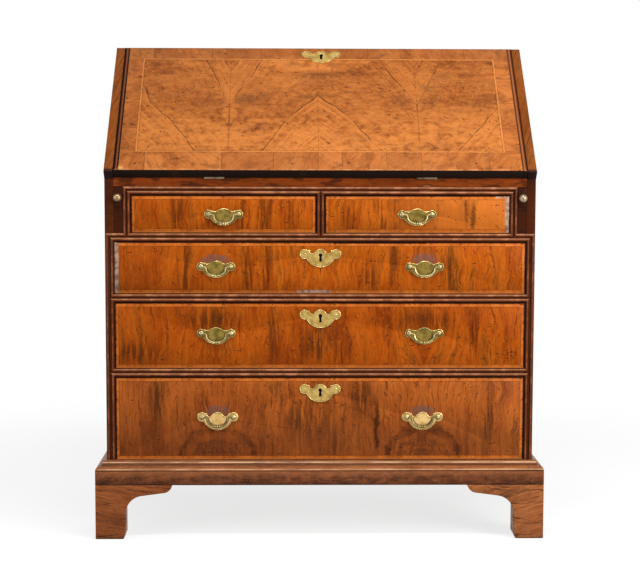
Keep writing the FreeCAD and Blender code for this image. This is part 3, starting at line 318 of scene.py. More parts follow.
# Joints between the leaves of the fall's field, and between the cross-grained pieces of its band
FALL_JOINTS = (-0.197, -0.004, 0.213)
BAND_JOINTS = (-0.372, -0.21, -0.10, -0.005, 0.045, 0.14, 0.214, 0.358)
END_JOINTS = (0.06, 0.13, 0.21, 0.29, 0.35)

# The fall's growth lines, as (level, half width, strength), and the oblong of its string
FALL_RINGS = ((0.2, 0.0044, 0.9), (-0.098, 0.0034, 0.9), (0.13, 0.003, 0.3), (-0.15, 0.0026, 0.3),
              (-0.05, 0.0026, 0.25), (0.165, 0.003, 0.35))
STRING_X = 0.392
STRING_LOW = 0.057
STRING_HIGH = 0.354
FALL_BOARD_X = 0.4265


def walnut(f, along, across, slice_, tones, streaks=0.6, drift=0.03):
    """Colour and surface height of figured walnut, from lines along and across its grain."""
    wander = f.cloud(across * 5, along * 3, slice_) - 0.5
    lane = across + wander * drift
    clouds = f.cloud(lane * 14, along * 7, slice_ + 2.0, 4.0, 0.6)
    bands = f.cloud(lane * 70, along * 4, slice_ + 5.0, 3.0, 0.6)
    fibre = f.cloud(lane * 330, along * 13, slice_ + 9.0, 3.0, 0.7)
    pores = f.cloud(lane * 1300, along * 90, slice_, 1.0)
    pips = f.cloud(across * 170, along * 75, slice_ + 17.0, 2.0, 0.55)
    tone = clouds * 0.38 + bands * 0.24 + fibre * 0.22 + pips * 0.16
    colour = f.ramp(tone, ((0.40, tones[2]), (0.49, tones[1]), (0.60, tones[0])))
    hue = f.cloud(lane * 9, along * 2, slice_ + 12.0, 2.0)
    colour = f.mix(f.rise(hue, 0.50, 0.66) * 0.4, colour, tones[2])
    smoke = f.rise(bands * 0.5 + clouds * 0.5, 0.51, 0.63)
    colour = f.mix(smoke * streaks, colour, tones[3])
    vein = f.rise(f.cloud(lane * 190, along * 12, slice_ + 7.0, 2.0), 0.60, 0.70)
    colour = f.mix(vein * streaks, colour, tones[3])
    hair = f.rise(f.cloud(lane * 460, along * 9, slice_ + 15.0, 2.0), 0.60, 0.68)
    colour = f.mix(hair * streaks * 0.7, colour, tones[3])
    colour = f.mix(f.rise(pores, 0.60, 0.74) * 0.5, colour, tones[3])
    colour = f.mix(f.rise(pips, 0.54, 0.68) * 0.34, colour, tones[3])
    colour = f.mix((1 - f.rise(pips, 0.32, 0.47)) * 0.30, colour, tones[0])
    return colour, fibre * 0.5 + pores * 0.5


def waxed(f, colour, height, low=0.34, high=0.46):
    """Finishes a wood with wax that has worn unevenly."""
    wear = f.cloud(f.x * 45, f.y * 45, f.z * 45, 5.0, 0.65)
    return f.done(colour, f.rise(wear, 0.3, 0.7) * (high - low) + low, height)


def slope_lines(f):
    """How far up the closed fall a point lies from its hinge, and how far out from its inner face."""
    y = f.y - HINGE_Y
    z = f.z - HINGE_Z
    up = y * math.cos(RAKE) + z * math.sin(RAKE)
    out = z * math.cos(RAKE) - y * math.sin(RAKE)
    return up, out


def keyhole_shade_patch(f, middle, up, level):
    """1 behind the keyhole of a plate at this level, where the wood is painted black as the shade inside the
    keyhole.
    """
    return f.patch(f.x, up, (middle - KEYWAY_HALF, level - KEYWAY_DROP),
                   (middle + KEYWAY_HALF, level + KEYWAY_RISE))


def feather_band(f, run, depth, width):
    """Colour of a feather band: two strips of slanting grain that meet on the band's middle."""
    slant = run + abs(depth - width / 2) * 1.6
    stripe = f.cloud(slant * 260, run * 14, 3.0, 3.0, 0.65)
    worn = f.cloud(run * 22, depth * 40, 6.0, 3.0)
    return f.mix(f.rise(stripe * 0.6 + worn * 0.4, 0.38, 0.58), BAND_DARK, BAND_LIGHT)


def drawer_finish(name, node, tones, leaf, ghosts=(), patches=(), smokes=(), gaps=(), chips=(), arch=0.0,
                  fan=0.0, pale_from=None):
    """A drawer front: leaves of upright veneer opened like a book, within a feather band."""
    f = Finish(name, coat=0.04)
    low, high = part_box(node)
    middle = (low[0] + high[0]) / 2 if leaf is None else 0.0
    width = leaf or (high[0] - low[0]) / 2
    fold = (f.x - middle).fold(width)
    slice_ = f.x * 2.5 + 9.0 * low[2]
    sway = (f.cloud(fold * 11, f.z * 15, slice_ + 21.0, 2.0) - 0.5) * 0.032
    colour, height = walnut(f, f.z, fold + sway, slice_, tones, 0.55, 0.05)
    off = width - fold
    # Painted shade: the fronts darker towards the left, away from the key lamp.
    colour = f.mix(f.rise(-1.0 * f.x, 0.05, 0.40) * 0.16, colour, tones[2])
    if pale_from:
        colour = f.mix(f.rise(f.x, *pale_from) * 0.45, colour, (0.66, 0.200, 0.030))
    murk = f.cloud(f.x * 110, f.z * 9, 3.0, 3.0, 0.6)
    for centre, half in smokes:
        stain = f.spot(f.x, f.z, centre, half, 0.9, 0.8) * f.rise(murk, 0.38, 0.56)
        colour = f.mix(stain * 0.72, colour, tones[3])
    if fan:
        rise = f.z - low[2] + 0.006
        turn = f.bearing(rise, off)
        rays = f.cloud(turn * 11, 2.0, f.x * 3, 3.0)
        reach = 1 - f.rise((off * off + rise * rise).root(), 0.03, 0.09)
        colour = f.mix(f.rise(rays, 0.46, 0.60) * reach * fan, colour, tones[3])
    if arch:
        bend = (f.cloud(off * 24, f.z * 24, f.x * 2 + 7.0, 4.0, 0.6) - 0.5) * 0.7
        u = off / 0.078
        v = (f.z - low[2]) / 0.066
        mound = (u * u + v * v).root() + bend
        low_half = 1 - f.rise(f.z + bend * 0.06, low[2] + 0.04, low[2] + 0.13)
        colour = f.mix(low_half * 0.42, colour, (0.11, 0.030, 0.009))
        swirl = f.rise(f.cloud(off * 55 + bend * 6, f.z * 55, f.x * 2, 4.0, 0.6), 0.44, 0.60)
        colour = f.mix((1 - f.rise(mound, 0.6, 1.2)) * swirl * 0.62 * arch, colour, (0.08, 0.022, 0.008))
        rings = f.cloud(mound * 14, off * 8, 3.0, 2.0)
        colour = f.mix((1 - f.rise(mound, 0.9, 1.1)) * f.rise(rings, 0.5, 0.62) * 0.30, colour, tones[3])
        broken = f.rise(f.cloud(off * 30, f.z * 30, f.x, 2.0), 0.40, 0.60)
        colour = f.mix(f.near(mound - 1.0, 0.13) * (broken * 0.5 + 0.22) * arch, colour, tones[3])
        vein = off - 0.098 - bend * 0.045
        upper = f.rise(f.z, low[2] + 0.015, low[2] + 0.03) * (1 - f.rise(f.z, low[2] + 0.10, low[2] + 0.14))
        inner = (1 - f.rise(abs(f.x), width - 0.01, width)) * (f.x.above(0) * 0.75 + 0.25)
        colour = f.mix(f.near(vein, 0.007) * upper * inner * 0.85 * arch, colour, tones[3])
    colour = f.mix(f.near(off, 0.0007) * 0.4, colour, tones[3])
    colour = f.mix(f.near(fold, 0.0007) * 0.3, colour, tones[3])
    for centre, half, tone in ghosts:
        scratched = f.rise(f.cloud(f.x * 260 + f.z * 160, f.z * 110, 4.0, 3.0), 0.36, 0.56) * 0.6 + 0.25
        colour = f.mix(f.spot(f.x, f.z, centre, half, 0.9) * scratched, colour, tone)
    colour = f.mix(f.specks(f.x, f.z, 0.013, 0.0014, 0.11), colour, INK)
    colour = f.mix(f.specks(f.x + f.z * 0.9, f.z * 0.24, 0.014, 0.0013, 0.15) * 0.8, colour, INK)
    colour = f.mix(f.specks(f.x * 0.3 - f.z * 0.8, f.z, 0.017, 0.0014, 0.15) * 0.8, colour, INK)
    colour = f.mix(f.specks(f.x - f.z * 0.4, f.z * 0.18, 0.011, 0.0010, 0.16) * 0.7, colour, INK)
    side = (f.x - low[0]).least(high[0] - f.x)
    level = (f.z - low[2]).least(high[2] - f.z)
    inset = side.least(level)
    upright = level.above(side)
    run = f.x + upright * (f.z - f.x)
    ragged = (f.cloud(f.x * 120, f.z * 120, 5.0, 3.0) - 0.5) * 0.002
    inside = inset + ragged
    band = feather_band(f, run, inset, BAND_W)
    faded = f.rise(f.cloud(f.x * 16, f.z * 16, 7.0, 3.0), 0.34, 0.60) * 0.4 + 0.6
    colour = f.mix((1 - f.rise(inside, BAND_W - 0.0004, BAND_W)) * faded, colour, band)
    colour = f.mix(f.near(inside - BAND_W, 0.0008) * 0.55, colour, tones[3])
    nicks = f.rise(f.cloud(run * 110, inset * 200, 1.0, 3.0), 0.58, 0.68) * (1 - f.rise(inset, 0.002, 0.0065))
    colour = f.mix(nicks * 0.8, colour, tones[3])
    foot = 1 - f.rise(f.z - low[2] + ragged, 0.0022, 0.0034)
    # Painted shade: a black line along the top and sides of the front, as shade in the gap round the drawer.
    colour = f.mix((1 - f.rise(inside, 0.0006, 0.0022)) * (1 - foot) * 0.85, colour, INK)
    # Painted highlight: the lower edge paler, as light on its arris.
    colour = f.mix(foot * 0.45, colour, (0.66, 0.210, 0.048))
    # Painted shade: a wider black line down both sides, as shade in the gaps beside the drawer.
    colour = f.mix((1 - f.rise(side + ragged, 0.0012, 0.0028)) * 0.9, colour, INK)
    for centre, half in chips:
        marks = f.specks(f.x * 0.5, f.z, 0.0045, 0.0016, 0.7)
        colour = f.mix(f.spot(f.x, f.z, centre, half, 0.6) * marks * 0.9, colour, INK)
    streaky = f.rise(f.cloud(f.x * 90, f.z * 90, 8.0, 4.0), 0.40, 0.62)
    grey = f.mix(streaky, GREY_WEAR, GREY_DIRT)
    for start, end in patches:
        colour = f.mix(f.patch(f.x, f.z, start, end) * 0.9, colour, grey)
    if leaf:
        # Painted shade: black behind the keyhole.
        colour = f.mix(keyhole_shade_patch(f, 0.0, f.z, high[2] - ESCUTCHEON_DROP), colour, KEYHOLE_SHADE)
    # Painted shade: black where the gap above the front lies in shade.
    for start, end in gaps:
        colour = f.mix(f.patch(f.x, f.z, start, end, 0.0004), colour, INK)
    colour = f.mix((f.y - FRONT_Y).above(0.0025), colour, (0.20, 0.105, 0.045))
    return waxed(f, colour, height)


def fall_finish():
    """The fall: four leaves opened like a book, with growth lines that meet on the joints, a light string and
    cross-grained bands round it, a blackened lower edge and a plain inner face. Painted light and shade on it:
    a highlight along the lower lip, a sheen on the blackened edge, shade in the grooves of its ends with the
    right end lighter, and black inside the keyhole."""
    f = Finish("fall_walnut", coat=0.03)
    tones = FALL_TONES
    up, out = slope_lines(f)
    left, middle, right = FALL_JOINTS
    x = f.x - middle
    aside = (x / (left - middle)).most(x / (right - middle)) - 1
    off = abs(aside) * 0.2
    warp = (f.cloud(off * 9, up * 9, f.x * 1.5, 3.0) - 0.5) * 0.05
    warp = warp + (f.cloud(off * 45, up * 45, f.x * 2, 3.0) - 0.5) * 0.012
    steep = off * (1 + aside.above(0) * f.rise(up, 0.2, 0.3) * 0.3)
    ring = up - steep * 2.3 + steep * steep * 3.2 + warp
    burr = f.cloud(off * 15, up * 44, f.x * 1.2 + 2.0, 5.0, 0.65)
    mottle = f.cloud(off * 60, up * 80, f.x * 3, 4.0, 0.65)
    shade = f.cloud(f.x * 6, up * 10, 6.0, 3.0)
    grain = f.cloud(ring * 300, off * 14, f.x * 2, 3.0, 0.65)
    fine = f.cloud(ring * 1300, off * 40, f.x * 2, 2.0)
    centre = f.rise(ring, -0.110, -0.092) * (1 - f.rise(ring, 0.185, 0.205))
    pips = f.cloud(f.x * 120, up * 150, 2.0, 2.0, 0.55)
    flat = f.ramp(burr * 0.40 + mottle * 0.26 + shade * 0.20 + pips * 0.14,
                  ((0.41, tones[2]), (0.475, tones[1]), (0.56, tones[0])))
    swept = f.ramp(grain * 0.40 + mottle * 0.18 + shade * 0.24 + pips * 0.18,
                   ((0.38, tones[2]), (0.455, tones[1]), (0.55, tones[0])))
    colour = f.mix(centre * 0.75, swept, flat)
    belt = f.near(up - 0.235, 0.075) * f.rise(burr, 0.47, 0.60)
    colour = f.mix(belt * 0.6 * centre, colour, (0.13, 0.034, 0.009))
    colour = f.mix(f.rise(f.x, 0.03, 0.24) * 0.20, colour, tones[2])
    colour = f.mix(f.rise(-1.0 * f.x, 0.10, 0.34) * 0.14, colour, tones[2])
    colour = f.mix(f.rise(pips, 0.54, 0.68) * 0.40, colour, tones[3])
    colour = f.mix((1 - f.rise(pips, 0.32, 0.46)) * 0.45, colour, tones[0])
    foot = (1 - f.rise(up, 0.10, 0.22)) * f.rise(mottle, 0.3, 0.6)
    colour = f.mix(foot * 0.40, colour, (0.62, 0.215, 0.048))
    faint = f.rise(f.cloud(f.x * 22, up * 22, 3.0, 3.0), 0.38, 0.62) * 0.65 + 0.31
    for level, width, strength in FALL_RINGS:
        colour = f.mix(f.near(ring - level, width) * faint * strength, colour, tones[3])
    colour = f.mix(f.near(ring + 0.104, 0.006) * 0.4, colour, tones[0])
    for joint in FALL_JOINTS:
        colour = f.mix(f.near(f.x - joint, 0.0009) * 0.35, colour, tones[3])
    for joint in (left, right):
        tail = f.rise(up, 0.05, 0.12) * (1 - f.rise(up, 0.20, 0.23)) * faint
        colour = f.mix(f.near(f.x - joint + warp * 0.05, 0.0022) * tail * 0.6, colour, tones[3])
    colour = f.mix(f.specks(f.x + up * 0.6, up * 0.5, 0.017, 0.0015, 0.14), colour, INK)
    colour = f.mix(f.specks(f.x, up, 0.015, 0.0012, 0.14), colour, INK)
    colour = f.mix(f.specks(f.x * 0.35 - up * 0.5, up, 0.016, 0.0012, 0.16) * 0.8, colour, INK)
    dots = f.specks(f.x, up * 0.8, 0.007, 0.0010, 0.16) * f.rise(burr, 0.48, 0.56)
    colour = f.mix(dots * 0.7, colour, tones[3])
    knots = f.spot(f.x, up, (-0.005, 0.300), (0.06, 0.012), 1.2, 0.8)
    colour = f.mix(knots * f.rise(mottle, 0.42, 0.56) * 0.7, colour, (0.09, 0.025, 0.010))
    string = (f.x + STRING_X).least(STRING_X - f.x).least(up - STRING_LOW).least(STRING_HIGH - up)
    ends = (up - STRING_LOW).least(STRING_HIGH - up).above(STRING_X - abs(f.x))
    run = f.x + ends * (up - f.x)
    across = up + ends * (f.x - up)
    part = f.x.above(0) * 30 * ends + up.above(0.2) * 60 * (1 - ends)
    seam = 1.0
    for joint in BAND_JOINTS:
        part = part + f.x.above(joint) * (1 - ends)
        seam = abs(f.x - joint + (up - 0.2).above(0) * 0.03 + ends).least(seam)
    for joint in END_JOINTS:
        part = part + up.above(joint) * ends
        seam = abs(up - joint + 1 - ends).least(seam)
    pick = f.chance(part)
    slant = across + run * (pick - 0.5) * 2.4
    curl = (f.cloud(f.x * 16, up * 16, pick * 5, 3.0) - 0.5) * 0.05
    lane = run - across * (pick - 0.5) * 2.0 + curl
    cross, _ = walnut(f, slant, lane, pick * 9, CROSS_TONES, 0.32, 0.06)
    blotch = f.cloud(f.x * 34, up * 34, pick * 7, 4.0, 0.6)
    cross = f.mix(f.rise(blotch, 0.50, 0.64) * 0.5, cross, (0.16, 0.045, 0.011))
    cross = f.mix(f.rise(pick, 0.3, 0.9) * 0.30, cross, (0.24, 0.066, 0.014))
    cross = f.mix(f.rise(up, 0.33, 0.37) * 0.35, cross, (0.17, 0.048, 0.012))
    knot = f.rise(f.cloud(f.x * 24, up * 40, 11.0, 4.0, 0.6), 0.58, 0.70)
    cross = f.mix(knot * 0.75, cross, (0.055, 0.020, 0.008))
    cross = f.mix(f.near(seam, 0.0009) * 0.5, cross, tones[3])
    cross = f.mix(f.specks(f.x, up, 0.03, 0.0030, 0.10) * 0.8, cross, INK)
    colour = f.mix(1 - f.rise(string, -0.0002, 0.0002), colour, cross)
    shake = string + (f.cloud(f.x * 60, up * 60, 4.0, 2.0) - 0.5) * 0.003
    feather = f.cloud((run + abs(string)) * 240, 0.0, 0.0, 2.0)
    pale = f.mix(f.rise(feather, 0.4, 0.6) * 0.7, STRING_LIGHT, FALL_TONES[0])
    thin = f.rise(f.cloud(f.x * 20, up * 20, 9.0, 3.0), 0.36, 0.58) * 0.35 + 0.4
    colour = f.mix(f.near(shake, 0.0024) * thin, colour, pale)
    colour = f.mix(f.near(shake - 0.0028, 0.0011) * 0.45, colour, tones[3])
    colour = f.mix(f.near(shake + 0.0026, 0.0009) * 0.30, colour, tones[3])
    smudge = f.cloud(f.x * 10, up * 15, 8.0, 4.0)
    colour = f.mix(f.rise(smudge, 0.58, 0.72) * 0.4, colour, (0.12, 0.045, 0.016))
    inner, _ = walnut(f, f.x, up, 3.0, INNER_TONES, 0.4)
    colour = f.mix(1 - f.rise(out, 0.0005, 0.0014), colour, inner)
    # The ends: painted shade in the groove of each end, black on the left and dark red on the right, and the
    # right end painted lighter, as lit from the right.
    margin = abs(f.x) - FALL_BOARD_X
    lit_right_end = f.x.above(0)
    strip = f.mix(f.near(margin - 0.0045, 0.0026), f.mix(lit_right_end, INK, (0.085, 0.024, 0.009)),
                  f.mix(lit_right_end, (0.17, 0.046, 0.014), (0.30, 0.092, 0.028)))
    colour = f.mix(f.rise(margin, -0.0012, 0.0), colour, strip)
    # Painted sheen: paler streaks on the blackened lower edge.
    rubbed = f.rise(f.cloud(f.x * 18, up * 300, 2.0, 3.0), 0.56, 0.70)
    edge = f.mix(rubbed * 0.5, (0.013, 0.007, 0.005), (0.05, 0.022, 0.010))
    # Painted highlight: a pale line along the lower lip.
    lip = f.near(up - 0.0030, 0.0024) * f.rise(f.cloud(f.x * 30, 4.0, 0.0, 3.0), 0.42, 0.62)
    colour = f.mix(lip * 0.6, colour, (0.62, 0.29, 0.115))
    bare = f.spot(f.x, up, (-0.421, 0.008), (0.006, 0.004), 0.6)
    colour = f.mix(bare * 0.6, colour, (0.72, 0.36, 0.14))
    # Painted shade: black behind the fall's keyhole.
    keyhole = keyhole_shade_patch(f, FALL_LOCK_X, up, FALL_LENGTH - FALL_ESCUTCHEON_DROP)
    colour = f.mix(keyhole, colour, KEYHOLE_SHADE)
    colour = f.mix(1 - f.rise(up, 0.0004, 0.0016), colour, edge)
    colour = f.mix(f.rise(up, 0.3905, 0.3915) * 0.8, colour, (0.04, 0.015, 0.007))
    return waxed(f, colour, grain * 0.5 + fine * 0.5, 0.34, 0.55)


def plain_walnut(name, tones, along, across, slice_, streaks=0.6, coat=0.05, marks_and_shading=None, slant=0.0):
    """A plain walnut piece; along and across name the axes of its grain, and slant is the grain's slope."""
    f = Finish(name, coat=coat, coat_roughness=0.08)
    lines = f.lines
    cut = lines[slice_] * 3
    lane = lines[across] + lines[along] * slant if slant else lines[across]
    colour, height = walnut(f, lines[along], lane, cut, tones, streaks)
    colour = f.mix(f.specks(lines[along], lines[across], 0.03, 0.002, 0.2) * 0.8, colour, INK)
    # Marks over the wood, some of them painted shade and painted highlights.
    if marks_and_shading:
        colour = marks_and_shading(f, colour)
    return waxed(f, colour, height)


def bead_shade_and_highlights(f, colour):
    """Painted shade where the beads meet the board behind them, and painted highlights on their crests and on
    their upper sides.
    """
    out = FRONT_Y - f.y
    worn = f.rise(f.cloud(f.x * 40, f.z * 40, 1.0, 3.0), 0.45, 0.65)
    # Painted shade: black where the beads meet the board behind them.
    colour = f.mix((1 - f.rise(out, 0.0003, 0.0015)) * 0.9, colour, INK)
    # Painted highlight: the crests paler.
    colour = f.mix(f.rise(out, 0.0020, 0.0026) * (worn * 0.4 + 0.2), colour, (0.40, 0.125, 0.042))
    # Painted highlight: the sides that face upward, found by the surface's direction, paler as if lit from
    # above.
    tilt = f.node("SeparateXYZ", {}, {"Vector": f.node("NewGeometry", {}, {}, "Normal")}, "Z")
    upper = f.rise(tilt, 0.12, 0.35) * (1 - f.rise(tilt, 0.80, 0.95))
    return f.mix(upper * (worn * 0.4 + 0.45), colour, (0.49, 0.220, 0.108))


def rail_marks(f, colour):
    """The let-in repair under the right-hand hinge."""
    aside = (f.x - HINGE_X) / REPAIR_HALF
    level = (f.z - REPAIR_Z) / REPAIR_RISE
    reach = (aside * aside + level * level).root()
    upper = f.z.above(REPAIR_Z)
    colour = f.mix((1 - f.rise(reach, 0.92, 1.0)) * upper * 0.55, colour, (0.30, 0.10, 0.03))
    return f.mix(f.near(reach - 0.97, 0.10) * upper * 0.8, colour, INK)


def rail_front(f, colour):
    """The writing bed's front edge is dark like the rails below it, and carries the let-in repair."""
    edge, _ = walnut(f, f.x, f.z, 2.0, RAIL_TONES, 0.3)
    smudge = f.rise(f.cloud(f.x * 18, f.z * 60, 5.0, 4.0), 0.50, 0.62)
    edge = f.mix(smudge * 0.7, edge, (0.020, 0.007, 0.003))
    return rail_marks(f, f.mix(1 - f.rise(f.y, FRONT_Y + 0.001, FRONT_Y + 0.002), colour, edge))


def moulding_highlights_and_shade(f, colour):
    """Painted highlights along the base moulding's top and lip, painted shade in its cove and a painted shadow
    under its lip.
    """
    low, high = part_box("base_mouldings")
    worn = f.rise(f.cloud(f.x * 14, f.y * 14, 2.0, 3.0), 0.38, 0.60)
    up = f.z - low[2]
    tall = high[2] - low[2]
    # Painted shade in the cove.
    colour = f.mix(f.near(up - tall * 0.60, tall * 0.14) * 0.8, colour, (0.05, 0.016, 0.007))
    # Painted highlights on the top fillet and on the lip.
    colour = f.mix(f.near(up - tall * 0.80, tall * 0.08) * (worn * 0.6 + 0.3), colour, (0.88, 0.56, 0.34))
    colour = f.mix(f.near(up - tall * 0.18, tall * 0.07) * (worn * 0.6 + 0.2), colour, (0.80, 0.46, 0.25))
    # Painted shadow: black under the lip.
    return f.mix((1 - f.rise(up, 0.0004, 0.0022)) * 0.85, colour, INK)


def apron_burr(f, colour):
    """Burr figure on the plinth, a painted highlight on its upper part, and rubbed dirt along its lower edge.
    """
    low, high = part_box("plinth_aprons")
    burr = f.cloud(f.x * 34, f.z * 70, f.y * 8, 5.0, 0.65)
    pips = f.cloud(f.x * 170, f.z * 230, f.y * 8, 3.0, 0.6)
    figure = burr * 0.7 + pips * 0.3
    colour = f.mix(f.rise(figure, 0.48, 0.66) * 0.75, colour, (0.035, 0.012, 0.006))
    colour = f.mix((1 - f.rise(figure, 0.34, 0.52)) * 0.55, colour, (0.34, 0.104, 0.034))
    level = (f.z - low[2]) / (high[2] - low[2])
    # Painted highlight: the upper part of the plinth paler.
    colour = f.mix(f.rise(level, 0.45, 0.95) * 0.30, colour, (0.42, 0.150, 0.056))
    colour = f.mix((1 - f.rise(level, 0.05, 0.45)) * 0.25, colour, (0.035, 0.012, 0.006))
    ragged = (f.cloud(f.x * 200, f.y * 200, 0.0, 2.0) - 0.5) * 0.004
    return f.mix((1 - f.rise(f.z - low[2] + ragged, 0.0006, 0.003)) * 0.7, colour, INK)


def foot_veins(f, colour):
    """Dark wandering veins on the feet, and dirt along their lower edge."""
    bend = (f.cloud(f.x * 12, f.z * 20, f.y * 6, 3.0) - 0.5) * 0.05
    vein = f.rise(f.cloud(f.x * 9, (f.z + bend) * 150, 4.0, 3.0, 0.6), 0.56, 0.66)
    colour = f.mix(vein * 0.75, colour, (0.030, 0.010, 0.005))
    return f.mix((1 - f.rise(f.z, 0.001, 0.005)) * 0.6, colour, INK)


def side_figure_and_shadow(f, colour):
    """Arched growth lines on the sides, a painted shadow on the fronts of the lower case just under the
    overhang of the fall's side strips, and darker wood along the case's front edge."""
    up, out = slope_lines(f)
    sway = (f.cloud(f.y * 6, f.z * 3, f.x * 2, 3.0) - 0.5) * 0.10
    aside = f.y - 0.03 + sway * 0.5
    crown = f.z * 0.22 + aside * aside * 5.0 + sway * 0.4
    arcs = f.cloud(crown * 60, aside * 4, f.x, 3.0, 0.6)
    colour = f.mix(f.rise(arcs, 0.50, 0.66) * 0.55, colour, SIDE_TONES[3])
    colour = f.mix((1 - f.rise(arcs, 0.34, 0.46)) * 0.40, colour, SIDE_TONES[0])
    ragged = (f.cloud(f.y * 20, f.z * 20, 3.0, 3.0) - 0.5) * 0.02
    front = 1 - f.rise(f.y + ragged, FRONT_Y + 0.002, FRONT_Y + 0.035)
    colour = f.mix(front * 0.8, colour, (0.045, 0.009, 0.002))
    rake, _ = walnut(f, up + f.x * 0.4, f.x - up * 0.3, 4.0, SLOPE_TONES, 0.6)
    colour = f.mix(f.rise(out, RAKE_T - 0.0012, RAKE_T - 0.0006) * f.rise(up, 0.005, 0.012), colour, rake)
    # Painted shadow: black on the fronts of the lower case just under the overhang.
    overhang_shadow = (1 - f.rise(abs(f.z - NOSE_Z), 0.006, 0.013)) * (1 - f.rise(f.y, FRONT_Y + 0.006, FRONT_Y + 0.02))
    return f.mix(overhang_shadow * 0.92, colour, INK)


def loper_dark(f, colour):
    """Darker front ends of the lopers."""
    return f.mix((1 - f.rise(f.y, FRONT_Y + 0.001, FRONT_Y + 0.01)) * 0.75, colour, (0.022, 0.005, 0.002))


def dovetails(f, colour, low, high):
    """Walnut pins of the front between the lining's tails, on the sides of a drawer."""
    count = max(2, round((high[2] - low[2]) / DOVETAIL_PITCH))
    pitch = (high[2] - low[2]) / count
    back = (f.y - low[1]) / DOVETAIL_LENGTH
    pin = (f.z - low[2]).fold(pitch / 2) - pitch * 0.10 - back * pitch * 0.10
    joint = 1 - f.rise(back, 0.97, 1.0)
    colour = f.mix((1 - f.rise(pin, -0.0003, 0.0003)) * joint, colour, (0.16, 0.062, 0.022))
    colour = f.mix(f.near(pin, 0.0007) * joint * 0.8, colour, INK)
    return f.mix(f.near(back - 1.0, 0.05) * 0.5, colour, INK)


def boarded(name, along, across, tones, plank=None, drawer=None):
    """Bare secondary timber: straight coarse grain, dry and dusty."""
    f = Finish(name, level=0.3)
    lines = f.lines
    cut = lines[across] * 0.5
    if plank:
        cut = f.chance(((f.x - BACK_LOW[0]) / plank).whole()) * 20
    wander = f.cloud(lines[across] * 6, lines[along] * 2, cut) - 0.5
    lane = lines[across] + wander * 0.03
    rings = f.cloud(lane * 120, lines[along] * 2.5, cut + 2.0, 3.0, 0.6)
    fibre = f.cloud(lane * 900, lines[along] * 18, cut + 4.0, 2.0)
    stain = f.cloud(f.x * 7, f.y * 7, f.z * 7, 4.0)
    colour = f.ramp(rings * 0.6 + fibre * 0.4, ((0.35, tones[2]), (0.5, tones[1]), (0.65, tones[0])))
    colour = f.mix(f.rise(stain, 0.5, 0.75) * 0.5, colour, tones[2])
    colour = f.mix(f.specks(lines[along], lines[across], 0.03, 0.0016, 0.25) * 0.8, colour, INK)
    if drawer:
        colour = dovetails(f, colour, *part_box(drawer + "_box"))
    return f.done(colour, f.rise(fibre, 0.3, 0.7) * 0.2 + 0.6, rings * 0.4 + fibre * 0.6, 0.0003, 0.6)


def brass_finish(name, bright, dull, dirt, recess_dirt_and_shade=None):
    """Cast brass rubbed bright on its raised parts, dulled by age, with dirt in its recesses; a mask that is
    given adds dirt between a knop's rings, and painted shade round a plate's posts and under its bail.
    """
    f = Finish(name, level=0.3)
    tarnish = f.cloud(f.x * 70, f.y * 70, f.z * 70, 4.0, 0.6)
    pits = f.cloud(f.x * 600, f.y * 600, f.z * 600, 2.0)
    colour = f.mix(f.rise(tarnish, 0.38, 0.64), bright, dull)
    dirt_and_shade_mask = f.rise(tarnish * 0.7 + pits * 0.4, 0.62, 0.80) * dirt
    if recess_dirt_and_shade:
        dirt_and_shade_mask = dirt_and_shade_mask.most(recess_dirt_and_shade(f))
    # Dirt, and painted shade where a mask for it is given, darkens the brass.
    colour = f.mix(dirt_and_shade_mask, colour, BRASS_DIRT_AND_SHADE)
    f.feed(f.shader.inputs["Metallic"], 0.8 - dirt_and_shade_mask * 0.7)
    return f.done(colour, f.rise(tarnish, 0.3, 0.7) * 0.16 + 0.24, pits + tarnish, 0.00015, 0.4)


def plate_painted_shade(x, z, pattern):
    """Painted shade on the plates of a drawer: a dark ring round each post, and the bail's shadow painted just
    below it.
    """
    path = bail_path(pattern)
    half = max(point[0] for point in path[8:-8])
    drop = min(point[1] for point in path)

    def recess_dirt_and_shade(f):
        across = abs(abs(f.x) - abs(x))
        up = f.z - z
        post = across - pattern[0]
        ring = (post * post + up * up).root()
        u = across / half
        v = (up + BAIL_SHADOW) / drop
        loop = (u * u + v * v).root()
        # Painted shadow of the bail, a little below its loop.
        behind = f.near(loop - 1.0, 0.24) * (1 - f.rise(up, -0.004, 0.0))
        # Painted shade: a dark ring round each post.
        return (f.near(ring - 0.0054, 0.0018) * 0.7).most(behind * 0.9)

    return recess_dirt_and_shade


def knop_hollows(x):
    """Where dirt gathers on a drawer's bails: between the rings of the knop at the foot."""

    def recess_dirt_and_shade(f):
        across = abs(abs(f.x) - abs(x))
        return f.near((across - KNOP_PITCH / 2).fold(KNOP_PITCH), 0.0012) * (1 - f.rise(across, 0.010, 0.011))

    return recess_dirt_and_shade


def lock_finish():
    """The lock behind the front: dull brass, painted black as shade where the keyhole opens on it."""
    f = Finish("lock_brass", level=0.3)
    stain = f.cloud(f.x * 90, f.y * 90, f.z * 90, 4.0, 0.6)
    # Painted shade: black where the keyhole opens on the lock.
    keyhole = 1 - f.rise(abs(abs(f.x - FALL_LOCK_X / 2) - FALL_LOCK_X / 2), KEYWAY_HALF, 0.008)
    colour = f.mix(f.rise(stain, 0.4, 0.6), (0.30, 0.22, 0.09), (0.18, 0.12, 0.05))
    colour = f.mix(keyhole, colour, KEYHOLE_SHADE)
    f.feed(f.shader.inputs["Metallic"], (1 - keyhole) * 0.8)
    return f.done(colour, f.rise(stain, 0.3, 0.7) * 0.2 + 0.35, stain, 0.0001, 0.4)


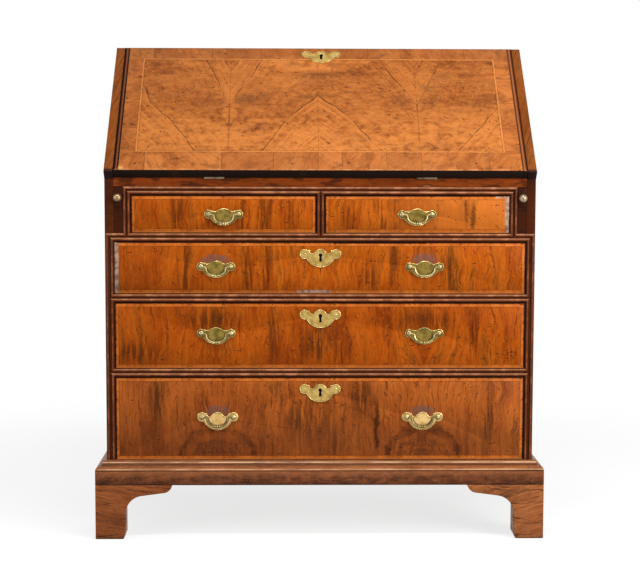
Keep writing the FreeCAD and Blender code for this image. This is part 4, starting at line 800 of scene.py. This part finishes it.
def iron_finish():
    """Old iron, rusted in places."""
    f = Finish("old_iron")
    rust = f.cloud(f.x * 160, f.y * 160, f.z * 160, 4.0, 0.65)
    colour = f.mix(f.rise(rust, 0.45, 0.65), (0.16, 0.15, 0.14), (0.11, 0.05, 0.03))
    f.feed(f.shader.inputs["Metallic"], 1 - f.rise(rust, 0.45, 0.65) * 0.8)
    return f.done(colour, f.rise(rust, 0.3, 0.7) * 0.3 + 0.4, rust, 0.0002, 0.5)


def knobbed_walnut(name, front_y):
    """Interior drawer and door fronts: walnut, with brass for the knob that stands in front of them."""
    f = Finish(name, coat=0.08)
    colour, height = walnut(f, f.z, f.x, f.x * 2, INNER_TONES, 0.6)
    lining = f.rise(f.y, front_y + 0.009, front_y + 0.0095)
    colour = f.mix(lining, colour, (0.33, 0.20, 0.10))
    knob = 1 - f.rise(f.y, front_y - 0.0006, front_y - 0.0003)
    colour = f.mix(knob, colour, (0.56, 0.42, 0.16))
    f.feed(f.shader.inputs["Metallic"], knob)
    return waxed(f, colour, height)


# Modelling

def put_down():
    """Leaves nothing selected and no piece being edited."""
    if bpy.context.object and bpy.context.object.mode != "OBJECT":
        bpy.ops.object.mode_set(mode="OBJECT")
    bpy.ops.object.select_all(action="DESELECT")


def take_up(piece):
    put_down()
    bpy.context.view_layer.objects.active = piece
    piece.select_set(True)
    return piece


def open_up(piece):
    """Opens a piece's mesh for editing, with all of it selected."""
    take_up(piece)
    bpy.ops.object.mode_set(mode="EDIT")
    bpy.ops.mesh.select_all(action="SELECT")


def keep_place(piece, name):
    """Names a piece and puts its place, turn and size into its mesh."""
    take_up(piece)
    piece.name = name
    bpy.ops.object.transform_apply(location=True, rotation=True, scale=True)
    return piece


def joined(pieces, name):
    take_up(pieces[0])
    for piece in pieces[1:]:
        piece.select_set(True)
    if len(pieces) > 1:
        bpy.ops.object.join()
    pieces[0].name = name
    return pieces[0]


def smooth(piece, degrees=35):
    take_up(piece)
    bpy.ops.object.shade_smooth_by_angle(angle=math.radians(degrees))
    return piece


def bevelled(piece, width, degrees):
    """Rounds the edges of a piece that turn by more than these degrees."""
    take_up(piece)
    bpy.ops.object.modifier_add(type="BEVEL")
    bevel = piece.modifiers[-1]
    bevel.width = width
    bevel.segments = 2
    bevel.limit_method = "ANGLE"
    bevel.angle_limit = math.radians(degrees)
    bpy.ops.object.modifier_apply(modifier=bevel.name)
    return piece


def coated(piece, material):
    piece.data.materials.clear()
    piece.data.materials.append(material)
    return piece


def turned(rings, segments=24):
    """A turned piece standing up from the origin: rings of (radius, height) from its foot to its tip."""
    put_down()
    bpy.ops.mesh.primitive_circle_add(vertices=segments, radius=rings[0][0], fill_type="NGON")
    piece = bpy.context.object
    open_up(piece)
    bpy.ops.transform.translate(value=(0, 0, rings[0][1]))
    for before, ring in zip(rings, rings[1:]):
        bpy.ops.mesh.extrude_region_move(TRANSFORM_OT_translate={"value": (0, 0, ring[1] - before[1])})
        grow = ring[0] / before[0]
        bpy.ops.transform.resize(value=(grow, grow, 1), center_override=(0, 0, ring[1]))
    bpy.ops.mesh.select_all(action="SELECT")
    bpy.ops.mesh.normals_make_consistent(inside=False)
    bpy.ops.object.mode_set(mode="OBJECT")
    return piece


def dome(radius, low, high, steps=6):
    """Rings of a rounded head of this radius, from height low to its tip at high."""
    rings = []
    for i in range(steps + 1):
        turn = math.pi / 2 * i / steps
        rings.append((max(radius * math.cos(turn), radius * 0.04), low + (high - low) * math.sin(turn)))
    return rings


def arc(start, via, end, steps):
    """Points on the circle through three points, after the first and up to the last."""
    ax, ay = start
    bx, by = via
    cx, cy = end
    d = 2 * (ax * (by - cy) + bx * (cy - ay) + cx * (ay - by))
    a = ax * ax + ay * ay
    b = bx * bx + by * by
    c = cx * cx + cy * cy
    ux = (a * (by - cy) + b * (cy - ay) + c * (ay - by)) / d
    uy = (a * (cx - bx) + b * (ax - cx) + c * (bx - ax)) / d
    radius = math.hypot(ax - ux, ay - uy)
    first = math.atan2(ay - uy, ax - ux)
    middle = (math.atan2(by - uy, bx - ux) - first) % (2 * math.pi)
    last = (math.atan2(cy - uy, cx - ux) - first) % (2 * math.pi)
    if middle > last:
        last -= 2 * math.pi
    turns = [first + last * i / steps for i in range(1, steps + 1)]
    return [(ux + radius * math.cos(turn), uy + radius * math.sin(turn)) for turn in turns]


def plate_outline(pattern):
    """The outline of a handle plate about the middle of its posts, as (across, up) points."""
    post_x, lobe, rise, drop, shares = pattern
    half = post_x + lobe
    spur, notch, flank = [(share[0] * half, share[1] * rise) for share in shares]
    low = (post_x - lobe * math.sin(LOBE_LOW), -lobe * math.cos(LOBE_LOW))
    high = (post_x - lobe * math.sin(LOBE_HIGH), lobe * math.cos(LOBE_HIGH))

    def left(p):
        return (-p[0], p[1])

    points = arc(left(low), (0, -drop), low, 20)
    points += arc(low, (half, 0), high, 16)
    points.append(spur)
    points += arc(spur, notch, flank, 5)
    points += arc(flank, (0, rise), left(flank), 12)
    points += arc(left(flank), left(notch), left(spur), 5)
    points.append(left(high))
    points += arc(left(high), (-half, 0), left(low), 16)
    return points


def keyhole_outline():
    """A round hole over a straight slot, below the middle of a plate's lobes."""
    head = 0.0040
    half = 0.0027
    drop = 0.0028
    foot = 0.0165
    dip = math.sqrt(head * head - half * half)
    points = [(half, -drop - dip)]
    points += arc((half, -drop - dip), (0, -drop + head), (-half, -drop - dip), 14)
    points += [(-half, -foot), (half, -foot)]
    return points[::-1]


def empty_curve(dimensions):
    """A curve with nothing drawn on it yet."""
    put_down()
    bpy.ops.curve.primitive_bezier_circle_add()
    curve = bpy.context.object.data
    curve.splines.clear()
    curve.dimensions = dimensions
    return curve


def draw(curve, points, closed=True):
    """Draws straight pieces on a curve, through (x, y, z, thickness) points."""
    spline = curve.splines.new("POLY")
    spline.points.add(len(points) - 1)
    for point, (x, y, z, thick) in zip(spline.points, points):
        point.co = (x, y, z, 1)
        point.radius = thick
    spline.use_cyclic_u = closed


def cast():
    """Makes a mesh of the curve in hand."""
    bpy.ops.object.convert(target="MESH")
    return bpy.context.object


def sheet_plate(outlines, thickness, edge):
    """A flat plate cut to its outlines, the first round it and the rest through it, with softened edges. It
    stands on the plane of the drawer front, facing forward."""
    curve = empty_curve("2D")
    curve.fill_mode = "BOTH"
    curve.extrude = thickness / 2 - edge
    curve.bevel_depth = edge
    curve.bevel_resolution = 2
    curve.offset = -edge
    for outline in outlines:
        draw(curve, [(across, up, 0, 1) for across, up in outline])
    piece = cast()
    piece.rotation_euler = (math.pi / 2, 0, 0)
    piece.location = (0, -thickness / 2, 0)
    return keep_place(piece, "plate")


def rim_line(outline, inset, radius, y):
    """A raised half-round line round a plate, a little inside its edge."""
    curve = empty_curve("3D")
    curve.bevel_depth = radius
    curve.bevel_resolution = 1
    points = []
    for i, here in enumerate(outline):
        before = Vector(outline[i - 1])
        after = Vector(outline[(i + 1) % len(outline)])
        way = (after - before).normalized()
        inside = Vector(here) + Vector((-way.y, way.x)) * inset
        points.append((inside.x, y, inside.y, 1))
    draw(curve, points)
    return keep_place(cast(), "rim")


def rimmed_plate(outlines, edge, brass, rim_r, groove_inset, groove_r):
    """The pieces of a plate cut to its outlines: the sheet, a raised rim and a dark line inside that."""
    sheet = sheet_plate(outlines, PLATE_T, edge)
    rim = rim_line(outlines[0], RIM_INSET, rim_r, -PLATE_T)
    groove = rim_line(outlines[0], groove_inset, groove_r, GROOVE_SINK - PLATE_T)
    return [coated(smooth(sheet), brass), coated(smooth(rim), RIM_BRASS), coated(smooth(groove), DIRTY_BRASS)]


def post_piece():
    """A cast post: a washer, a waisted neck, a domed head, and a shank through the drawer front."""
    neck = [(radius, PLATE_T + height) for radius, height in POST_RINGS]
    head = turned(neck + dome(0.0034, PLATE_T + 0.0056, PLATE_T + 0.0089))
    head.rotation_euler = (math.pi / 2, 0, 0)
    shank = turned([(0.0019, 0.0), (0.0019, FRONT_T + 0.0032), (0.0014, FRONT_T + 0.0036)], 12)
    shank.rotation_euler = (-math.pi / 2, 0, 0)
    keep_place(head, "head")
    keep_place(shank, "shank")
    return smooth(joined([head, shank], "post"))


def nut_piece():
    """A square hand-filed nut behind the drawer front, with its corners taken off."""
    put_down()
    bpy.ops.mesh.primitive_cylinder_add(vertices=4, radius=0.0068, depth=0.003)
    piece = bpy.context.object
    piece.rotation_euler = (math.pi / 2, math.pi / 4, 0)
    piece.location = (0, FRONT_T + 0.0015, 0)
    return bevelled(keep_place(piece, "nut"), 0.0005, 30)


def handle_piece(name, pattern, x, z, brass):
    """A plate with its rim and engraved line, two posts and their nuts, at a place on a drawer front."""
    pieces = rimmed_plate([plate_outline(pattern)], 0.0005, brass, 0.0006, 0.0022, 0.0004)
    for side in (-pattern[0], pattern[0]):
        for piece in (post_piece(), nut_piece()):
            piece.location = (side, 0, 0)
            pieces.append(coated(keep_place(piece, "fixing"), POST_BRASS))
    handle = joined(pieces, name)
    handle.location = (x, FRONT_Y, z)
    return keep_place(handle, name)


def escutcheon_piece(name):
    """A notched plate with a keyhole, and a nail in each lobe, about the middle of its lobes."""
    outlines = [plate_outline(NOTCHED), keyhole_outline()]
    pieces = rimmed_plate(outlines, 0.0004, SCUTCHEON_BRASS, 0.0005, 0.0026, 0.00035)
    for side in (-NOTCHED[0], NOTCHED[0]):
        nail = turned([(0.0026, PLATE_T - 0.0003)] + dome(0.0026, PLATE_T, PLATE_T + 0.0017))
        nail.rotation_euler = (math.pi / 2, 0, 0)
        nail.location = (side, 0, 0)
        pieces.append(coated(smooth(keep_place(nail, "nail")), SCUTCHEON_BRASS))
    return joined(pieces, name)


def bail_path(pattern):
    """The bail's line from one post to the other, as (across, up, thickness) points."""
    post_x = pattern[0]
    start = post_x - 0.0032 - 0.0006
    turn = start - 0.10 * post_x
    elbow = 2 * BAIL_R
    side = turn - elbow
    corner = 0.40 * post_x
    swing = 0.66 * math.pi / 2
    half = [(start, 0.0, 0.95), (turn, 0.0, 0.85)]
    for i in range(1, 7):
        bend = math.pi / 2 + math.pi / 2 * i / 6
        half.append((turn + elbow * math.cos(bend), -elbow + elbow * math.sin(bend), 0.85))
    for i in range(1, 9):
        bend = -swing * i / 8
        out = side - corner + corner * math.cos(bend)
        half.append((out, -elbow + corner * math.sin(bend), 0.85 + 0.02 * i))
    foot_r = half[-1][0] / math.cos(swing)
    middle_z = half[-1][1] + foot_r * math.sin(swing)
    for i in range(1, 6):
        bend = -swing - (math.pi / 2 - swing) * i / 5
        half.append((foot_r * math.cos(bend), middle_z + foot_r * math.sin(bend), 1.02 + 0.02 * i))
    return half + [(-across, up, thick) for across, up, thick in reversed(half[:-1])]


def bail_piece(name, pattern, x, z, brass):
    """A swinging bail, swelling towards its foot, with a ringed knop and a pin into each post."""
    path = bail_path(pattern)
    curve = empty_curve("3D")
    curve.bevel_depth = BAIL_R
    curve.bevel_resolution = 3
    curve.use_fill_caps = True
    draw(curve, [(across, 0, up, thick) for across, up, thick in path], closed=False)
    pieces = [smooth(cast())]
    foot = min(path, key=lambda p: p[1])
    for step, radius in KNOP_RINGS:
        shift = step * KNOP_PITCH
        length = KNOP_PITCH * 0.72
        bead = turned([(radius * 0.6, -length / 2), (radius * 0.92, -length / 4), (radius, 0.0),
                       (radius * 0.92, length / 4), (radius * 0.6, length / 2)], 16)
        bead.rotation_euler = (0, math.pi / 2, 0)
        bead.location = (shift, 0, foot[1] + abs(shift) * 0.1)
        pieces.append(smooth(keep_place(bead, "bead")))
    for side in (-1, 1):
        pin = turned([(0.0014, 0.0), (0.0014, 0.0036), (0.0010, 0.0038)], 10)
        pin.rotation_euler = (0, side * math.pi / 2, 0)
        pin.location = (side * path[0][0], 0, 0)
        pieces.append(smooth(keep_place(pin, "pin")))
    for piece in pieces:
        coated(piece, brass)
    bail = joined(pieces, name)
    bail.location = (x, FRONT_Y - PLATE_T - POST_OUT, z)
    return keep_place(bail, name)


def eased(name, node, width, material, kept=None):
    """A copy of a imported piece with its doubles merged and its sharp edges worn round, in that piece's place.
    Of its separate solids, only those that the test keeps stay."""
    piece = bpy.data.objects.new(name, packed[node].data.copy())
    bpy.context.scene.collection.objects.link(piece)
    open_up(piece)
    bpy.ops.mesh.remove_doubles(threshold=SAME_PLACE)
    bpy.ops.mesh.dissolve_limited(angle_limit=math.radians(0.5))
    bpy.ops.object.mode_set(mode="OBJECT")
    if kept:
        piece = drop_solids(piece, kept)
    bevelled(piece, width, WORN_TURN)
    # Where two solids touch, a worn corner would stand out past them.
    low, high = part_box(node)
    for vertex in piece.data.vertices:
        vertex.co = [min(max(vertex.co[i], low[i]), high[i]) for i in range(3)]
    return coated(smooth(piece, WORN_TURN), material)


def drop_solids(piece, kept):
    """Deletes the separate solids of a piece that fail the test, which is given each one's lowest corner."""
    open_up(piece)
    bpy.ops.mesh.separate(type="LOOSE")
    bpy.ops.object.mode_set(mode="OBJECT")
    stay = []
    for part in list(bpy.context.selected_objects):
        corners = [vertex.co for vertex in part.data.vertices]
        lowest = Vector([min(c[i] for c in corners) for i in range(3)])
        if kept(lowest):
            stay.append(part)
        else:
            bpy.data.objects.remove(part)
    return joined(stay, stay[0].name)


def nail_piece():
    """A hand-forged nail head, hammered to five flats."""
    rings = [(NAIL_R, -HEAD_SINK), (NAIL_R, 0.0)]
    rings += [(NAIL_R * 0.55, NAIL_PROUD * 0.7), (NAIL_R * 0.1, NAIL_PROUD)]
    return turned(rings, 5)


def screw_piece():
    """A screw head with its slot, standing up from the origin."""
    halves = []
    for side in (-1, 1):
        half = turned([(SCREW_R, -HEAD_SINK), (SCREW_R, 0.0001)] + dome(SCREW_R * 0.9, 0.0002, 0.0005, 3), 20)
        open_up(half)
        bpy.ops.mesh.bisect(plane_co=(side * SCREW_SLOT / 2, 0, 0), plane_no=(side, 0, 0), use_fill=True,
                            clear_inner=True)
        bpy.ops.object.mode_set(mode="OBJECT")
        halves.append(half)
    return joined(halves, "screw")


body_of = {}
for body, nodes in frame["record"]["behaviour"]["bodies"].items():
    for node in nodes:
        body_of[node] = body


def stands_for(piece, slot, *nodes):
    """The piece rides with, and takes the place of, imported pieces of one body."""
    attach(piece, body_of[nodes[0]])
    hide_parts(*nodes)
    return piece


def worn(name, node, width, material, slot):
    """A packed wooden piece with worn edges takes that piece's place."""
    return stands_for(eased(name, node, width, material), slot, node)


def added(piece, body):
    """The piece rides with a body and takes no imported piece's place."""
    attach(piece, body)
    return piece


# Finishes
RIM_BRASS = brass_finish("rubbed_rim_brass", (0.60, 0.46, 0.17), (0.36, 0.26, 0.08), 0.6)
DIRTY_BRASS = brass_finish("engraved_brass", (0.10, 0.07, 0.025), (0.06, 0.04, 0.015), 0.6)
POST_BRASS = brass_finish("post_brass", (0.52, 0.42, 0.20), (0.30, 0.23, 0.09), 0.5)
SCUTCHEON_BRASS = brass_finish("scutcheon_brass", (0.60, 0.41, 0.125), (0.38, 0.24, 0.055), 0.5)
BAIL_TONES = ((0.58, 0.48, 0.22), (0.30, 0.23, 0.08))
DARK_BAIL_TONES = ((0.30, 0.22, 0.08), (0.12, 0.085, 0.03))
KNOB_BRASS = {
    "left": brass_finish("left_knob_brass", (0.34, 0.22, 0.115), (0.23, 0.145, 0.070), 0.4),
    "right": brass_finish("right_knob_brass", (0.42, 0.32, 0.225), (0.29, 0.21, 0.135), 0.4)}
HINGE_BRASS = brass_finish("hinge_brass", (0.24, 0.175, 0.10), (0.09, 0.060, 0.032), 0.7)
LOCK_BRASS = lock_finish()
IRON = iron_finish()
FALL = fall_finish()
BEADS = plain_walnut("bead_walnut", BEAD_TONES, "z", "x", "y", 0.4, 0.06, bead_shade_and_highlights)
RAILS = plain_walnut("rail_walnut", CASE_TONES, "x", "z", "y", 0.3, 0.05, rail_marks)
SIDES = plain_walnut("side_walnut", SIDE_TONES, "z", "y", "x", 0.35, 0.05, side_figure_and_shadow)
TOP = plain_walnut("top_walnut", SLOPE_TONES, "x", "y", "z", 0.6, 0.15)
MOULDING = plain_walnut("moulding_walnut", MOULDING_TONES, "x", "z", "y", 0.5, 0.15, moulding_highlights_and_shade)
APRON = plain_walnut("apron_walnut", APRON_TONES, "x", "z", "y", 0.5, 0.1, apron_burr)
# Painted light: the left foot's finish is darkened as shaded and the right foot's lightened as lit, besides
# their own tones and grain.
FEET = {
    "left": plain_walnut("left_foot_shaded_walnut", LEFT_FOOT_SHADED_TONES, "x", "z", "y", 0.7, 0.1, foot_veins, 0.15),
    "right": plain_walnut("right_foot_lit_walnut", RIGHT_FOOT_LIT_TONES, "x", "z", "y", 0.7, 0.1, foot_veins, -0.3)}
LOPER = plain_walnut("loper_walnut", CASE_TONES, "y", "z", "x", 0.5, 0.05, loper_dark)
BED = plain_walnut("bed_walnut", INNER_TONES, "x", "y", "z", 0.5, 0.05, rail_front)
GALLERY = plain_walnut("gallery_walnut", INNER_TONES, "z", "x", "y", 0.5)
OAK_TONES = ((0.40, 0.255, 0.130), (0.29, 0.175, 0.085), (0.17, 0.095, 0.045))
DEAL_TONES = ((0.36, 0.215, 0.105), (0.25, 0.14, 0.066), (0.14, 0.072, 0.034))
DUST = boarded("oak_dust_board", "x", "y", OAK_TONES)
BACK = boarded("oak_back_board", "z", "x", DEAL_TONES, PLANK_W)
SMALL_FRONTS = knobbed_walnut("small_drawer_walnut", SMALL_FRONT_Y)


def repaint(material, *nodes):
    for node in nodes:
        for slot in packed[node].material_slots:
            slot.material = material


repaint(BEADS, "carcase_beads")
repaint(RAILS, "drawer_rails")
repaint(LOPER, "upper_partitions")
repaint(BED, "writing_bed")
repaint(GALLERY, "gallery", "gallery_valances")
repaint(DUST, "dust_boards", "case_bottom")
repaint(BACK, "back_boards")
repaint(HINGE_BRASS, "case_hinge_leaves", "fall_hinge_leaves")
repaint(LOCK_BRASS, "fall_lock")
repaint(SMALL_FRONTS, "cupboard_door", *[f"small_drawer_{i}" for i in (1, 2, 3, 4)])
repaint(IRON, "fall_lock_bolt", *[drawer + "_lock_bolt" for drawer in LONG_HANDLES])
for drawer in (*LONG_HANDLES, *SHORT_HANDLES):
    repaint(boarded(drawer + "_oak", "y", "x", OAK_TONES, drawer=drawer), drawer + "_box")

# Worn wooden pieces
for side in ("left", "right"):
    worn(f"side_board_{side}", f"case_side_{side}", 0.0008, SIDES, "case_walnut")
    worn(f"loper_bar_{side}", f"loper_{side}", 0.0006, LOPER, "case_walnut")
    for end in ("front", "back"):
        worn(f"bracket_{end}_{side}", f"foot_{end}_{side}", 0.0012, FEET[side], "base_walnut")
worn("top_board", "case_top", 0.0008, TOP, "case_walnut")
worn("plinth", "plinth_aprons", 0.0008, APRON, "base_walnut")
worn("base_moulding", "base_mouldings", 0.0005, MOULDING, "base_walnut")
worn("fall_panel", "fall_board", 0.0009, FALL, "fall_walnut")
worn("fall_ends", "fall_edges", 0.0006, FALL, "fall_walnut")

# Drawer fronts. Smokes and chips are ovals as (middle, half widths), ghosts have a tone as well, and patches
# and gaps are oblongs as (low corner, high corner), all of them across and up the front. The gaps are painted
# shade, black where the gap above a front lies in shade.
long_low, long_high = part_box("long_drawer_1_front")
right_low, right_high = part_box("short_drawer_right_front")
DRAWERS = {
    "short_drawer_left": drawer_finish(
        "short_left_veneer", "short_drawer_left_front", DRAWER_TONES, None,
        smokes=[((-0.304, 0.70), (0.012, 0.06)), ((-0.166, 0.69), (0.011, 0.06)),
                ((-0.117, 0.70), (0.013, 0.06)), ((-0.215, 0.675), (0.03, 0.012)),
                ((-0.06, 0.69), (0.008, 0.05))]),
    "short_drawer_right": drawer_finish(
        "short_right_veneer", "short_drawer_right_front", DRAWER_TONES, None, pale_from=(0.03, 0.33),
        smokes=[((0.133, 0.69), (0.012, 0.06)), ((0.160, 0.70), (0.007, 0.05)),
                ((0.307, 0.705), (0.008, 0.03)), ((0.325, 0.69), (0.006, 0.03)),
                ((0.06, 0.69), (0.014, 0.04))],
        patches=[((right_high[0] - 0.009, right_low[2]), (right_high[0], right_high[2])),
                 ((right_high[0] - 0.030, right_high[2] - 0.004), (right_high[0], right_high[2]))]),
    "long_drawer_1": drawer_finish(
        "long_1_veneer", "long_drawer_1_front", DRAWER_TONES, 0.222,
        smokes=[((-0.289, 0.58), (0.012, 0.09)), ((-0.156, 0.57), (0.011, 0.09)),
                ((-0.115, 0.585), (0.012, 0.06)), ((0.156, 0.60), (0.010, 0.05)),
                ((0.275, 0.57), (0.014, 0.05)), ((0.105, 0.56), (0.020, 0.03))],
        gaps=[((0.028, long_high[2] - 0.0022), (0.225, long_high[2]))],
        ghosts=[((-0.222, 0.597), (0.030, 0.012), LILAC_GHOST),
                ((0.222, 0.600), (0.026, 0.012), LILAC_GHOST)],
        patches=[((long_low[0], long_low[2]), (long_low[0] + 0.009, long_high[2])),
                 ((-0.050, long_low[2] + 0.001), (0.022, long_low[2] + 0.0075))]),
    "long_drawer_2": drawer_finish(
        "long_2_veneer", "long_drawer_2_front", LONG_2_TONES, 0.222,
        smokes=[((-0.232, 0.470), (0.05, 0.025)), ((0.232, 0.470), (0.06, 0.025)),
                ((-0.40, 0.40), (0.05, 0.02)), ((0.0, 0.42), (0.05, 0.04)),
                ((-0.10, 0.44), (0.012, 0.07)), ((0.33, 0.43), (0.012, 0.06))],
        chips=[((0.407, 0.397), (0.016, 0.012))], fan=0.25),
    "long_drawer_3": drawer_finish(
        "long_3_veneer", "long_drawer_3_front", LOW_DRAWER_TONES, 0.2195,
        ghosts=[((-0.2195, 0.272), (0.024, 0.013), LILAC_GHOST),
                ((0.2195, 0.272), (0.024, 0.013), LILAC_GHOST)],
        smokes=[((-0.35, 0.29), (0.016, 0.05)), ((-0.03, 0.25), (0.05, 0.04)), ((0.09, 0.30), (0.02, 0.05)),
                ((0.36, 0.27), (0.014, 0.06)), ((0.03, 0.20), (0.012, 0.03))], arch=1.0),
}
for drawer, veneer in DRAWERS.items():
    worn(drawer + "_panel", drawer + "_front", 0.0008, veneer, "drawer_walnut")

# Brasses; the long drawers' handles sit above the middle of their fronts by these rises
DULL_TONES = ((0.31, 0.210, 0.042), (0.15, 0.100, 0.018))
BRIGHT_TONES = ((0.80, 0.54, 0.21), (0.60, 0.37, 0.12))
for drawer, x in SHORT_HANDLES.items():
    low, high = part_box(drawer + "_front")
    z = (low[2] + high[2]) / 2
    brass = brass_finish(drawer + "_brass", *DULL_TONES, 0.5, plate_painted_shade(x, z, SHOULDERED))
    stands_for(handle_piece(drawer + "_plate", SHOULDERED, x, z, brass), "brass", drawer + "_handle")
    brass = brass_finish(drawer + "_bail_brass", *BAIL_TONES, 0.6, knop_hollows(x))
    stands_for(bail_piece(drawer + "_swing_bail", SHOULDERED, x, z, brass), "brass", drawer + "_bail")
RISES = {"long_drawer_1": 0.003, "long_drawer_2": 0.0055, "long_drawer_3": 0.0035}
for drawer, (x, pattern) in LONG_HANDLES.items():
    low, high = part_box(drawer + "_front")
    z = (low[2] + high[2]) / 2 + RISES[drawer]
    tones = BRIGHT_TONES if pattern is NOTCHED else DULL_TONES
    brass = brass_finish(drawer + "_brass", *tones, 0.4, plate_painted_shade(x, z, pattern))
    pieces = [handle_piece("plate", pattern, side, z, brass) for side in (-x, x)]
    scutcheon = escutcheon_piece("scutcheon")
    scutcheon.location = (0, FRONT_Y, high[2] - ESCUTCHEON_DROP)
    pieces.append(keep_place(scutcheon, "scutcheon"))
    pieces.append(eased("lock", drawer + "_brasses", 0.0004, LOCK_BRASS,
                        lambda corner: 0.005 < corner.y - FRONT_Y < 0.015))
    stands_for(joined(pieces, drawer + "_mounts"), "brass", drawer + "_brasses")
    tones = DARK_BAIL_TONES if pattern is NOTCHED else BAIL_TONES
    brass = brass_finish(drawer + "_bail_brass", *tones, 0.6, knop_hollows(x))
    for side, place in (("left", -x), ("right", x)):
        stands_for(bail_piece(f"{drawer}_swing_bail_{side}", pattern, place, z, brass), "brass",
                   f"{drawer}_bail_{side}")

fall_plate = escutcheon_piece("fall_scutcheon")
up = FALL_LENGTH - FALL_ESCUTCHEON_DROP
fall_plate.rotation_euler = (RAKE - math.pi / 2, 0, 0)
fall_plate.location = (FALL_LOCK_X, HINGE_Y + up * math.cos(RAKE) - FALL_T * math.sin(RAKE),
                       HINGE_Z + up * math.sin(RAKE) + FALL_T * math.cos(RAKE))
stands_for(keep_place(fall_plate, "fall_scutcheon"), "brass", "fall_escutcheon")

for side in ("left", "right"):
    low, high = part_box(f"loper_knob_{side}")
    knob = turned([*KNOB_RINGS, *dome(0.0092, 0.0096, 0.0184)])
    knob.rotation_euler = (math.pi / 2, 0, 0)
    knob.location = ((low[0] + high[0]) / 2, FRONT_Y, (low[2] + high[2]) / 2)
    keep_place(knob, f"loper_pull_{side}")
    stands_for(coated(smooth(knob), KNOB_BRASS[side]), "brass", f"loper_knob_{side}")

# Nails through the back boards, and screws in the hinges
heads = []
for i in range(BACK_PLANKS):
    for share in NAIL_SHARES:
        for level in NAIL_LEVELS:
            head = nail_piece()
            head.rotation_euler = (-math.pi / 2, 0, 0)
            head.location = (BACK_LOW[0] + PLANK_W * (i + share), BACK_HIGH[1], level)
            heads.append(keep_place(head, "nail"))
added(coated(joined(heads, "back_nails"), IRON), body_of["back_boards"])

case_screws = []
fall_screws = []
for x in (-HINGE_X, HINGE_X):
    for aside, back in HINGE_SCREWS:
        screw = screw_piece()
        screw.location = (x + aside, FRONT_Y + back, HINGE_Z)
        case_screws.append(smooth(keep_place(screw, "screw")))
        screw = screw_piece()
        screw.rotation_euler = (math.pi + RAKE, 0, 0)
        screw.location = (x + aside, HINGE_Y + back * math.cos(RAKE), HINGE_Z + back * math.sin(RAKE))
        fall_screws.append(smooth(keep_place(screw, "screw")))
added(coated(joined(case_screws, "bed_hinge_screws"), IRON), body_of["case_hinge_leaves"])
added(coated(joined(fall_screws, "fall_hinge_screws"), IRON), body_of["fall_hinge_leaves"])

# Floor, light and camera. The floor fades out between two distances, and glows only where the camera sees it;
# the sky is dimmer as a light than where it is seen. The focal length is in pixels of the photograph.
FLOOR_R = 2.4
FLOOR_FADE = (0.8, 1.9)
FLOOR_GLOW = 0.76
SKY_LIGHT = 0.42
LAMP_AIM = (0, -0.1, 0.5)
PHOTO_WIDTH = 640
FOCAL_LENGTH = 1559.38
SENSOR_WIDTH = 36.0
CAMERA_PLACE = (-0.06524, -3.54927, 0.83066)
CAMERA_PAN = -0.0194786
CAMERA_TILT = -0.0910573
CAMERA_ROLL = 0.0026070

put_down()
bpy.ops.mesh.primitive_circle_add(vertices=96, radius=FLOOR_R, fill_type="NGON")
floor = bpy.context.object
floor.name = "studio_floor"
paper = Finish("studio_paper", level=0.0)
fleck = paper.cloud(paper.x * 3, paper.y * 3, 0.0)
edge = paper.rise((paper.x * paper.x + paper.y * paper.y).root(), *FLOOR_FADE)
paper.feed(paper.shader.inputs["Alpha"], 1 - edge)
paper.shader.inputs["Emission Strength"].default_value = FLOOR_GLOW
paper.feed(paper.shader.inputs["Emission Color"], paper.mix(paper.looked_at(), (0, 0, 0), (1, 1, 1)))
coated(floor, paper.done(paper.mix(fleck, (0.25, 0.25, 0.25), (0.28, 0.28, 0.28)), 0.9))

world = bpy.data.worlds.new("studio")
bpy.context.scene.world = world
world.use_nodes = True
sky = world.node_tree.nodes["Background"]
sky.inputs["Color"].default_value = (1, 1, 1, 1)
studio = Nodes(world.node_tree)
glow = studio.node("MapRange", {}, {"Value": studio.looked_at(), "To Min": SKY_LIGHT, "To Max": 1.0})
studio.feed(sky.inputs["Strength"], glow)


def panel(name, place, width, height, watts):
    """A soft oblong studio lamp."""
    lamp = bpy.data.lights.new(name, "AREA")
    lamp.shape = "RECTANGLE"
    lamp.size = width
    lamp.size_y = height
    lamp.energy = watts
    holder = bpy.data.objects.new(name, lamp)
    bpy.context.scene.collection.objects.link(holder)
    holder.location = place
    holder.rotation_euler = (Vector(LAMP_AIM) - Vector(place)).to_track_quat("-Z", "Y").to_euler()


panel("key_panel", (2.2, -2.0, 1.2), 1.2, 2.0, 70)
panel("left_panel", (-2.3, -1.7, 1.0), 0.5, 1.8, 17)
panel("top_panel", (0.15, -1.5, 3.0), 2.0, 0.25, 48)

camera = bpy.data.cameras.new("camera")
camera.sensor_fit = "HORIZONTAL"
camera.sensor_width = SENSOR_WIDTH
camera.lens = FOCAL_LENGTH / PHOTO_WIDTH * SENSOR_WIDTH
viewer = bpy.data.objects.new("camera", camera)
bpy.context.scene.collection.objects.link(viewer)
turn = Matrix.Rotation(CAMERA_PAN, 3, "Z") @ Matrix.Rotation(math.pi / 2 + CAMERA_TILT, 3, "X")
turn = turn @ Matrix.Rotation(CAMERA_ROLL, 3, "Z")
viewer.matrix_world = Matrix.Translation(CAMERA_PLACE) @ turn.to_4x4()
bpy.context.scene.camera = viewer
bpy.context.scene.view_settings.view_transform = "Standard"
